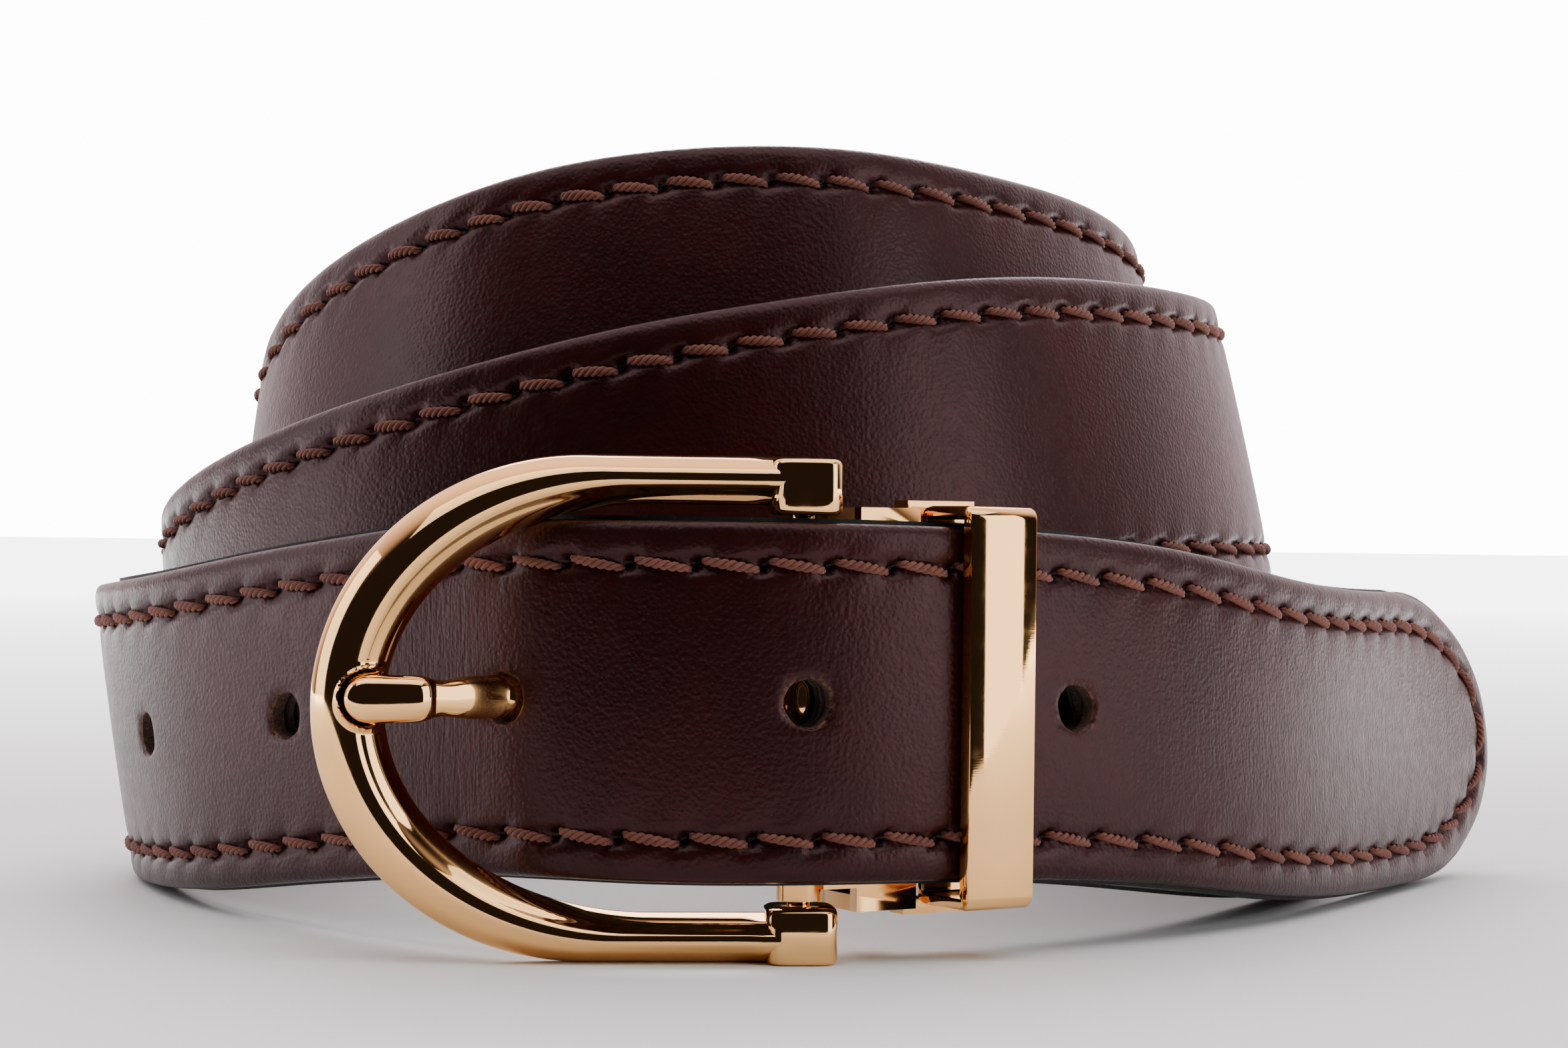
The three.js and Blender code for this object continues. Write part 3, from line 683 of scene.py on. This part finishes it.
def stitch_line(start, stop, count):
    """Shares along a stitch, its points (distance along, height) and the way across it."""
    t = np.linspace(0, 1, count)
    place = start + STITCH_INSET + (stop - start - 2 * STITCH_INSET) * t

    def seam_at(at):
        return np.stack([np.interp(at, SEAM_AT, SEAM[:, k]) for k in (0, 1)], 1)
    way = seam_at(place + 0.3) - seam_at(place - 0.3)
    way /= np.linalg.norm(way, axis=1)[:, None]
    return t, seam_at(place), np.stack([-way[:, 1], way[:, 0]], 1)


def ply_tubes(stretch):
    """Points and quads of every stitch of a stretch: three twisted plies in front, two behind."""
    s0, s1 = STRETCHES[stretch]
    points, quads, count = [], [], 0
    for start, stop in zip(NEEDLE[:-1], NEEDLE[1:]):
        middle = np.interp((start + stop) / 2, SEAM_AT, SEAM[:, 0])
        if not s0 <= middle < s1:
            continue
        turn0 = RANDOM.uniform(0, 2 * math.pi)
        thick = RANDOM.normal(1, 0.04)
        lift = RANDOM.normal(0, 0.03)
        for plies, steps, sides, ply_share in (STITCH_FRONT, STITCH_BACK):
            t, line, side = stitch_line(start, stop, steps)
            slant = (t - 0.5) * 2 * STITCH_SLANT
            # thin where it dives into the needle holes
            swell = np.clip(np.sin(math.pi * np.clip(t * 0.94 + 0.03, 0, 1)), 0, 1) ** 0.45
            body = THREAD_R * thick * (0.35 + 0.65 * swell)
            sink = (1 - np.sin(math.pi * t) ** 0.35) * THREAD_SINK
            if plies == STITCH_BACK[0]:
                depth = LINING_T[1] - THREAD_LIFT + 0.2 - sink
            else:
                depth = THREAD_LIFT + lift + sink - 0.1
            ply_r = body * ply_share
            for p in range(plies):
                turn = turn0 + 2 * math.pi * (p / plies - t * (stop - start) / TWIST_LENGTH)
                across = slant + body * PLY_OFFSET * np.cos(turn)
                deep = depth + body * PLY_OFFSET * np.sin(turn)
                for w in 2 * math.pi * np.arange(sides) / sides:
                    at = line + side * (across + ply_r * math.cos(w))[:, None]
                    points.append(route.place(at[:, 0], at[:, 1], deep + ply_r * math.sin(w)))
                ids = count + np.arange(sides * steps).reshape(sides, steps)
                nxt = np.roll(ids, -1, axis=0)
                tube = np.stack([ids[:, :-1], ids[:, 1:], nxt[:, 1:], nxt[:, :-1]], -1)
                quads.append(tube.reshape(-1, 4))
                count += sides * steps
    return np.concatenate(points), np.concatenate(quads)


def close_holes(o):
    """Caps every open loop of a mesh and turns its faces outwards."""
    b = bmesh.new()
    b.from_mesh(o.data)
    bmesh.ops.holes_fill(b, edges=[e for e in b.edges if e.is_boundary], sides=0)
    bmesh.ops.recalc_face_normals(b, faces=b.faces)
    b.to_mesh(o.data)
    b.free()


def follow(o, stretch):
    """Rides the strap, or bends where the fastened stretch swings with the buckle."""
    if stretch == "front":
        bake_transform(o, "strap", "buckle", start=at_photo(8, 4, 20), end=at_photo(-5, 4, 20))
    elif stretch == "turned":
        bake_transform(o, "strap", "buckle", start=at_photo(-47, 4, 20), end=at_photo(-33, 4, 20))
    else:
        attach(o, "strap")


def at_photo(x, y, z):
    """A place in the photo's frame, in millimetres, as metres in the part's frame."""
    return tuple((np.array((x, y, z), float) - CENTRE) * MM)


def build_strap():
    """The four layers of every stretch, each standing for its CAD nodes."""
    for stretch in STRETCHES:
        stands = STANDS_FOR.get(stretch, (stretch,))
        face = layer(f"calf_{stretch}", stretch, FACE_HALF, face_front, FACE_BACK, True,
                     [FACE, FACE, RAW], FACE_SLOT)
        core = layer(f"filler_{stretch}", stretch, CORE_HALF, flat_at(CORE_T[0]), CORE_T[1], False,
                     [CORE, CORE, RAW], BACK_SLOT)
        lining = layer(f"backing_{stretch}", stretch, LINING_HALF, flat_at(LINING_T[0]), LINING_T[1],
                       False, [LINING, LINING, LINING], BACK_SLOT)
        points, quads = ply_tubes(stretch)
        seam = mesh_object(f"seam_{stretch}", points, [(quads, 0)], [THREAD])
        close_holes(seam)
        for o, node, slot in ((face, "face_", "face"), (core, "core_", "core"),
                              (lining, "lining_", "lining")):
            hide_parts(*[node + x for x in stands])
        rows = [f"thread_{row}_{x}" for x in stands if x != "tip" for row in ("upper", "lower")]
        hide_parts(*rows, *(["thread_tip"] if "tip" in stands else []))
        for o in (face, core, lining, seam):
            follow(o, stretch)


# ---- hardware ----
def placed(points, turn):
    """Points laid out from the hinge axis (x along, y back) turned by some degrees into place."""
    a = math.radians(turn)
    p = np.asarray(points, float)
    x = HINGE[0] + p[..., 0] * math.cos(a) - p[..., 1] * math.sin(a)
    y = HINGE[1] + p[..., 0] * math.sin(a) + p[..., 1] * math.cos(a)
    return np.stack([x, y, p[..., 2]], -1) - CENTRE


def swept(name, sections, material, closed=False):
    """A skin over rings of points, (rings, points in a ring, 3), capped or closed on itself."""
    n, m = sections.shape[:2]
    ids = np.arange(n * m).reshape(n, m)
    following = np.roll(ids, -1, axis=0) if closed else ids[1:]
    current = ids if closed else ids[:-1]
    quads = np.stack([current, np.roll(current, -1, 1), np.roll(following, -1, 1), following], -1)
    o = mesh_object(name, sections.reshape(-1, 3), [(quads.reshape(-1, 4), 0)], [material])
    close_holes(o)
    return o


FRAME_PROFILE = [
    # share of the way from the outer to the inner outline, and height towards the front
    (0.02, -0.3), (0.0, 0.3), (0.0, 0.8), (0.04, 1.35), (0.12, 1.95), (0.21, 2.5), (0.3, 2.9),
    (0.38, 3.1), (0.46, 3.16), (0.54, 3.12), (0.61, 3.0), (0.66, 2.8), (0.7, 2.5), (0.74, 2.3),
    (0.79, 2.16), (0.85, 1.82), (0.91, 1.35), (0.96, 0.85), (0.99, 0.4), (1.0, 0.1), (0.98, -0.15),
    (0.92, -0.38), (0.5, -0.45),
]
PROFILE_SMOOTHING = 12
# edges sharper than this, in degrees, stay sharp on rounded pieces and on the keeper
ROUND_ANGLE, KEEPER_ANGLE = 50, 30
FRAME_BACK = -0.9
FRAME_RISE = 0.1
ARM_END = 0.2
OUTER = (-17.0, 21.3, 19.8)
INNER = (-12.0, 20.5, 15.9)
OUTLINE_POINTS, PROFILE_POINTS = 90, 120
# the seat of the prong's tip: place, radius and the height of its floor
SEAT_Z = 20.5
SEAT_X, SEAT_R, SEAT_FLOOR = -31.75, 1.86, 1.5
# its scoop and the raised lip round it: off the radius, width, height, and where each ends along x
SCOOP_OFF, SCOOP_SOFT, SCOOP_END = 0.16, 0.07, -20
LIP_OFF, LIP_WIDTH, LIP_RISE, LIP_END = 0.5, 0.2, 0.3, -28.5
# heights between which a point counts as the hoop's front
FRONT_LOW, FRONT_FADE = 1.0, 0.8
# the fillet from the arms up to the lugs: start, length, height
FILLET_X, FILLET_LENGTH, FILLET_RISE = -4.9, 1.9, 0.36

# the hinge lugs: barrel radius, how square, how deep, how far forward, edge rounding, lower and upper
LUG_R, LUG_SQUARE, LUG_DEPTH, LUG_FORWARD, LUG_EDGE = 3.1, 4.5, 0.92, 1.35, 0.45
LUGS = ((0, 4.4), (35, 39.4))


def frame_outline():
    """Matching points of the hoop's outer and inner outlines, from the upper arm to the lower."""
    def line(x, rx, rz):
        straight = np.linspace(ARM_END, x, OUTLINE_POINTS)[:-1]
        angle = np.linspace(math.pi / 2, 3 * math.pi / 2, 4 * OUTLINE_POINTS)
        return np.concatenate([
            np.stack([straight, np.full_like(straight, rz)], 1),
            np.stack([x + rx * np.cos(angle), rz * np.sin(angle)], 1),
            np.stack([straight[::-1], np.full_like(straight, -rz)], 1)])
    return line(*OUTER), line(*INNER)


def smooth_profile(profile, count):
    """Points of a closed smooth line through a profile."""
    p = np.array(profile + profile[:1], float)
    t = np.concatenate([[0], np.cumsum(np.linalg.norm(np.diff(p, axis=0) * (4, 1), axis=1))])
    even = np.linspace(0, t[-1], count + 1)[:-1]
    line = np.stack([np.interp(even, t, p[:, k]) for k in (0, 1)], 1)
    for _ in range(PROFILE_SMOOTHING):
        line = (np.roll(line, 1, 0) + 2 * line + np.roll(line, -1, 0)) / 4
    return line


def buckle_frame():
    """The horseshoe: a profile carried round the hoop, the prong's seat in it, and two lugs."""
    outer, inner = frame_outline()
    profile = smooth_profile(FRAME_PROFILE, PROFILE_POINTS)
    share = profile[:, 0][None, :, None]
    across = outer[:, None] * (1 - share) + inner[:, None] * share
    height = np.repeat(profile[None, :, 1], len(outer), 0)
    x, z = across[..., 0], across[..., 1] + HINGE[2] + FRAME_RISE
    at_x = placed(np.stack([x, FRAME_BACK - height, z], -1), FRAME_YAW)[..., 0] + CENTRE[0]
    gap = np.hypot(np.minimum(at_x - SEAT_X, 0), z - SEAT_Z) - SEAT_R
    scoop = 1 / (1 + np.exp((gap - SCOOP_OFF) / SCOOP_SOFT)) * (at_x < SCOOP_END)
    lip = np.exp(-((gap - LIP_OFF) / LIP_WIDTH) ** 2) * (at_x < LIP_END)
    front = np.clip((height - FRONT_LOW) / FRONT_FADE, 0, 1)
    height = height + front * (LIP_RISE * lip - scoop * np.maximum(height - SEAT_FLOOR, 0))
    flare = np.clip((x - FILLET_X) / FILLET_LENGTH, 0, 1) ** 2
    height = height + front * FILLET_RISE * flare
    hoop = swept("hoop", placed(np.stack([x, FRAME_BACK - height, z], -1), FRAME_YAW), GOLD)
    return merge("horseshoe", [hoop, *[lug(z0, z1) for z0, z1 in LUGS]])


def rounded_ring(radius, squareness, count=64):
    """A ring between a circle and a square, in plan."""
    w = np.linspace(0, 2 * math.pi, count, endpoint=False)
    c, s = np.cos(w), np.sin(w)
    r = radius / (np.abs(c) ** squareness + np.abs(s) ** squareness) ** (1 / squareness)
    return np.stack([r * c, r * s], 1)


def lug(z0, z1):
    """A hinge lug: an upright barrel, squarish in plan, with rounded rims."""
    ring = rounded_ring(LUG_R, LUG_SQUARE) * (LUG_DEPTH, 1)
    rims = [(z0 + LUG_EDGE * rise, inset * LUG_EDGE) for rise, inset in ((0, 1), (0.3, 0.28), (1, 0))]
    rims = rims + [(z1 - (z - z0), inset) for z, inset in rims[::-1]]
    sections = []
    for z, inset in rims:
        plan = ring * (1 - inset / LUG_R)
        sections.append(np.stack([plan[:, 0], plan[:, 1] - LUG_FORWARD, np.full(len(plan), z)], 1))
    return swept("lug", placed(np.array(sections), FRAME_YAW), GOLD)


def merge(name, objects):
    """Joins closed objects into one mesh."""
    first = objects[0]
    for other in objects[1:]:
        union = first.modifiers.new("join", "BOOLEAN")
        union.operation, union.object, union.solver = "UNION", other, "EXACT"
        apply_modifiers(first)
        bpy.data.objects.remove(other)
    first.name = first.data.name = name
    return first


def subtract(o, tool):
    """Cuts one closed object out of another."""
    cut = o.modifiers.new("cut", "BOOLEAN")
    cut.operation, cut.object, cut.solver = "DIFFERENCE", tool, "EXACT"
    apply_modifiers(o)
    bpy.data.objects.remove(tool)
    return o


def apply_modifiers(o):
    """Puts an object's modified mesh in place of its own."""
    graph = bpy.context.evaluated_depsgraph_get()
    graph.update()
    made = bpy.data.meshes.new_from_object(o.evaluated_get(graph))
    o.modifiers.clear()
    o.data = made


def shade(o, angle):
    """Smooth shading that keeps edges sharper than the angle."""
    for p in o.data.polygons:
        p.use_smooth = True
    b = bmesh.new()
    b.from_mesh(o.data)
    for e in b.edges:
        e.smooth = len(e.link_faces) != 2 or e.calc_face_angle() < math.radians(angle)
    b.to_mesh(o.data)
    b.free()


def bevelled(o, width, segments=3):
    """Rounds the edges of a hard-edged object for good."""
    bevel = o.modifiers.new("round", "BEVEL")
    bevel.width, bevel.segments, bevel.limit_method = width * MM, segments, "ANGLE"
    bevel.angle_limit = math.radians(40)
    bevel.use_clamp_overlap = True
    apply_modifiers(o)
    shade(o, ROUND_ANGLE)
    return o


def block(u, n, z, material=GOLD):
    """A block of the clamp: u along the strap, n towards its face, z up, from the hinge axis."""
    corners = np.array([(x, -y, h) for x in u for y in n for h in z], float)
    p = placed(corners, CLAMP_TURN)
    faces = np.array([(0, 1, 3, 2), (4, 6, 7, 5), (0, 4, 5, 1),
                      (2, 3, 7, 6), (0, 2, 6, 4), (1, 5, 7, 3)])
    o = mesh_object("block", p, [(faces, 0)], [material])
    close_holes(o)
    return o


def post(name, u, n, radius, z, count=32, rim=0.0):
    """An upright round post from the hinge axis; rim rounds its ends."""
    w = np.linspace(0, 2 * math.pi, count, endpoint=False)
    levels = [(z[0], rim), (z[0] + rim * 0.3, rim * 0.3), (z[0] + rim, 0)] if rim else [(z[0], 0)]
    levels = levels + [(z[0] + z[1] - h, d) for h, d in levels[::-1]]
    rings = np.array([np.stack([u + (radius - d) * np.cos(w), -n + (radius - d) * np.sin(w),
                                np.full(count, h)], 1) for h, d in levels])
    return swept(name, placed(rings, CLAMP_TURN), GOLD)


# the prong's middle line in plan, in the photo's frame
PRONG_LINE = np.array([(0.2, 6.5), (-6, 6.45), (-14, 6.45), (-17.5, 6.45), (-20, 6.4), (-21.5, 6.0),
                       (-22.8, 5.1), (-24.2, 3.7), (-25.6, 2.3), (-27, 1.25), (-28.6, 0.5),
                       (-30.5, -0.05), (-33.6, -0.45)])
PRONG_ROWS, PRONG_SMOOTHING, PRONG_SIDES, PRONG_SQUARE = 320, 60, 36, 2.5
# half width and half thickness: of the bar, added at the capsule, taken off at the waist
PRONG_WIDE = (1.7, 0.15, 0.3)
PRONG_THICK = (0.95, 0.45, 0.2)
CAPSULE_X, CAPSULE_LENGTH = -27.1, 1.1
WAIST_X, WAIST_LENGTH = -26.2, 1.2
PRONG_END, PRONG_BLUNT = 1.9, 0.08
PRONG_RING_R, PRONG_RING_HALF = 1.75, 2.2


def prong():
    """The prong: a bar with a capsule tip, a waist behind it, and a ring round the hinge bar."""
    chord = np.concatenate([[0], np.cumsum(np.linalg.norm(np.diff(PRONG_LINE, axis=0), axis=1))])
    even = np.linspace(0, chord[-1], PRONG_ROWS)
    line = np.stack([np.interp(even, chord, PRONG_LINE[:, k]) for k in (0, 1)], 1)
    for _ in range(PRONG_SMOOTHING):
        line[1:-1] = (line[:-2] + 2 * line[1:-1] + line[2:]) / 4
    way = np.gradient(line, axis=0)
    way /= np.linalg.norm(way, axis=1)[:, None]
    side = np.stack([way[:, 1], -way[:, 0]], 1)
    x = line[:, 0]
    capsule = np.clip((CAPSULE_X - x) / CAPSULE_LENGTH, 0, 1)
    capsule = np.sqrt(1 - (1 - capsule) ** 2)
    waist = np.exp(-((x - WAIST_X) / WAIST_LENGTH) ** 2)
    half_w, half_t = (bar + more * capsule - less * waist
                      for bar, more, less in (PRONG_WIDE, PRONG_THICK))
    end = np.clip((x - x.min()) / PRONG_END, 0, 1)
    cap = np.sqrt(np.clip(1 - (1 - end) ** 2, 0, 1))
    half_w = half_w * np.maximum(cap, PRONG_BLUNT)
    half_t = half_t * np.maximum(cap ** 0.8, PRONG_BLUNT)
    w = np.linspace(0, 2 * math.pi, PRONG_SIDES, endpoint=False)
    power = 2 / PRONG_SQUARE
    c = np.sign(np.cos(w)) * np.abs(np.cos(w)) ** power
    s = np.sign(np.sin(w)) * np.abs(np.sin(w)) ** power
    centre = line[:, None] + side[:, None] * (half_t[:, None] * s[None])[..., None]
    z = SEAT_Z + half_w[:, None] * c[None]
    rings = np.concatenate([centre, z[..., None]], 2) - CENTRE
    bar = swept("bar", rings, GOLD)
    ends = SEAT_Z - PRONG_RING_HALF, SEAT_Z + PRONG_RING_HALF
    o = merge("tongue", [bar, post("ring", 0, 0, PRONG_RING_R, ends, rim=0.3)])
    shade(o, ROUND_ANGLE)
    return o


# the clamp's plates as blocks (u, n, z), then the slots cut in them
CLAMP_BLOCKS = [
    ((1.2, 9.9), (0.8, 1.8), (5.6, 33.8)), ((4.3, 9.9), (0.8, 1.8), (3.7, 35.7)),
    ((4.3, 9.9), (-4.6, 1.8), (3.7, 5)), ((4.3, 9.9), (-4.6, 1.8), (34.4, 35.7)),
    ((4.3, 9.9), (-4.6, -3.3), (3.7, 35.7)), ((9.6, 16), (-1.6, 0.4), (3.1, 4.3)),
    ((9.6, 16), (-1.6, 0.4), (35.1, 36.3)), ((4.1, 6.8), (-5.4, -3.3), (11.8, 14.4)),
    ((4.1, 6.8), (-5.4, -3.3), (25, 27.2)),
]
CLAMP_CUTS = [((1, 2.7), (0.4, 2.4), (18, 23)), ((4.2, 11), (-6, -3.2), (14.4, 25))]
KNUCKLES = ((4.7, 18), (23, 34.7))
KNUCKLE_R = 1.75
CLAMP_ROUND, LEVER_ROUND = 0.22, 0.12
PIN_U, PIN_N, PIN_R = 5.4, -4.4, 0.5
PIN_Z = (11.6, 27.4)
# the lever: its blade's end, thickness and height, its barrel, and its teeth
BLADE_END, BLADE_N, LEVER_Z = 14.9, (-5, -4), (14.7, 24.7)
BARREL_R = 1.1
TEETH, TOOTH_LENGTH, TOOTH_N = (9, 10.5, 12, 13.5), 0.8, (-4.1, -3.4)
HINGE_BAR_R, HINGE_BAR_Z = 0.9, (0.5, 38.9)


def clamp():
    """The folded plate clamp with its tabs and the two knuckles round the hinge bar."""
    parts = [block(*b, GOLD_BACK) for b in CLAMP_BLOCKS]
    parts += [post("knuckle", 0, 0, KNUCKLE_R, z, count=40) for z in KNUCKLES]
    body = merge("clamp", parts)
    for c in CLAMP_CUTS:
        subtract(body, block(*c))
    return bevelled(body, CLAMP_ROUND)


def lever():
    """The toothed lever that bites the strap's end, on its pin."""
    parts = [block((PIN_U, BLADE_END), BLADE_N, LEVER_Z, GOLD_BACK),
             post("barrel", PIN_U, PIN_N, BARREL_R, LEVER_Z)]
    parts += [block((u, u + TOOTH_LENGTH), TOOTH_N, LEVER_Z, GOLD_BACK) for u in TEETH]
    return bevelled(merge("bite_lever", parts), LEVER_ROUND, 2)


KEEPER_U = (10.5, 16.9)
KEEPER_N = (0.8, 8.25)
KEEPER_Z = (4.0, 35.9)
KEEPER_CORNER, KEEPER_SOFT = 1.1, 0.38
KEEPER_FRONT_WALL, KEEPER_BACK_WALL = 1.35, 0.95


def keeper():
    """A metal loop: a bar section with softened edges carried round a rounded rectangle."""
    corner, soft = KEEPER_CORNER, KEEPER_SOFT
    loop = []
    corners = ((KEEPER_N[1], KEEPER_Z[1], 0), (KEEPER_N[0], KEEPER_Z[1], 90),
               (KEEPER_N[0], KEEPER_Z[0], 180), (KEEPER_N[1], KEEPER_Z[0], 270))
    for n, z, start in corners:
        cn = n - corner if start in (0, 270) else n + corner
        cz = z - corner if start in (0, 90) else z + corner
        for w in np.radians(np.linspace(start, start + 90, 9)):
            loop.append((cn, cz, math.cos(w), math.sin(w)))
    lo, hi = KEEPER_U
    # along the strap, and in from the outer surface as a share of the wall
    section = [(lo + soft, 0), (hi - soft, 0), (hi - soft * 0.3, -soft * 0.3), (hi, -soft),
               (hi, -1 + soft * 0.4), (hi - soft * 0.5, -1), (lo + soft * 0.5, -1),
               (lo, -1 + soft * 0.4), (lo, -soft), (lo + soft * 0.3, -soft * 0.3)]
    rings = []
    for cn, cz, dn, dz in loop:
        wall = KEEPER_FRONT_WALL if dn > 0.7 else KEEPER_BACK_WALL
        radii = [(u, corner + (d if d > -soft - 0.01 else d * wall)) for u, d in section]
        rings.append([(u, -(cn + r * dn), cz + r * dz) for u, r in radii])
    o = swept("loop_keeper", placed(np.array(rings), CLAMP_TURN), GOLD, closed=True)
    shade(o, KEEPER_ANGLE)
    return o


def hinge_bar():
    """The rod through the lugs, the knuckles and the prong's ring."""
    return post("hinge_rod", 0, 0, HINGE_BAR_R, HINGE_BAR_Z, rim=0.2)


def hold(o, body, *nodes):
    """Puts a metal piece on its body in place of its CAD nodes."""
    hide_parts(*nodes)
    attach(o, body)


def build_hardware():
    """Every metal piece, on the body that carries it."""
    horseshoe = buckle_frame()
    shade(horseshoe, ROUND_ANGLE)
    hold(horseshoe, "buckle", "buckle_frame")
    hold(hinge_bar(), "buckle", "hinge_bar")
    hold(prong(), "prong_body", "prong")
    hold(clamp(), "strap", "clamp_body")
    hold(lever(), "lever", "clamp_lever")
    pin = post("pin", PIN_U, PIN_N, PIN_R, PIN_Z, rim=0.12)
    hold(pin, "strap", "lever_pin")
    hold(keeper(), "strap", "keeper")


# ---- stage ----
def plane(name, size, where, material):
    """A level square."""
    mesh = bpy.data.meshes.new(name)
    h = size / 2
    mesh.from_pydata([(-h, -h, 0), (h, -h, 0), (h, h, 0), (-h, h, 0)], [], [(0, 1, 2, 3)])
    mesh.materials.append(material)
    o = linked(name, mesh)
    o.location = where
    return o


def soft_light(name, where, size, power):
    """A rectangular area light that faces the belt."""
    light = bpy.data.lights.new(name, "AREA")
    light.shape = "RECTANGLE"
    light.size, light.size_y, light.energy = size[0], size[1], power
    o = linked(name, light)
    o.location = where
    o.rotation_euler = (Vector(LIGHT_TARGET) - Vector(where)).to_track_quat("-Z", "Y").to_euler()


def build_world():
    """White to look at; as a light it is brightest behind the belt and dark on the near side."""
    world = bpy.data.worlds.new("studio")
    n = Nodes(world)
    way = n.add("SeparateXYZ", {0: n.add("TexCoord").outputs["Generated"]}).outputs
    spread = {0: n.math("MULTIPLY_ADD", way[2], WORLD_UP, way[1]), **dict(enumerate(WORLD_RAMP, 1))}
    strength = n.add("MapRange", spread, interpolation_type="SMOOTHSTEP").outputs[0]
    light = n.tree.nodes["Background"]
    n.put(light.inputs["Color"], WORLD_COLOUR)
    n.put(light.inputs["Strength"], strength)
    white = n.add("Background", {"Color": (1, 1, 1, 1), "Strength": WHITE_STRENGTH})
    seen = n.add("LightPath").outputs["Is Camera Ray"]
    pick = n.add("MixShader", {0: seen, 1: light.outputs[0], 2: white.outputs[0]})
    n.put(n.tree.nodes["World Output"].inputs[0], pick.outputs[0])
    bpy.context.scene.world = world


def build_stage():
    """The floor, the world's light and the soft boxes."""
    n = Looks("floor_white", Roughness=0.7, Specular_IOR_Level=0.2)
    n.to_shader("Base Color", (0.9, 0.94, 0.94, 1))
    # the far floor glows, so that it runs into the white behind it
    away = n.add("VectorMath", {0: n.add("NewGeometry").outputs["Position"]}, operation="LENGTH")
    n.to_shader("Emission Color", (1, 1, 1, 1))
    n.to_shader("Emission Strength", n.ramp(away.outputs["Value"], *FLOOR_GLOW))
    plane("floor", FLOOR_SIZE, (0, FLOOR_SIZE / 2 - FLOOR_FRONT, 0), n.material)
    build_world()
    for name, where, size, power in SOFT_BOXES:
        soft_light(name, where, size, power)


# the photo's camera: lens and sensor, place in the photo's frame, roll, clip distances in metres
LENS, SENSOR = 76.6, 36.0
CAMERA_AT, CAMERA_ROLL = (0, -256, 34.3), 0.7
CAMERA_CLIP = (0.01, 20.0)


def build_camera():
    """The camera that took the photo, level and looking straight at the belt."""
    camera = bpy.data.cameras.new("camera")
    camera.lens, camera.sensor_width = LENS, SENSOR
    o = linked("camera", camera)
    level = Matrix.Rotation(math.radians(90), 4, "X")
    turn = level @ Matrix.Rotation(math.radians(CAMERA_ROLL), 4, "Z")
    o.matrix_world = Matrix.Translation(Vector(at_photo(*CAMERA_AT))) @ turn
    camera.clip_start, camera.clip_end = CAMERA_CLIP
    bpy.context.scene.camera = o


build_strap()
build_hardware()
build_stage()
build_camera()
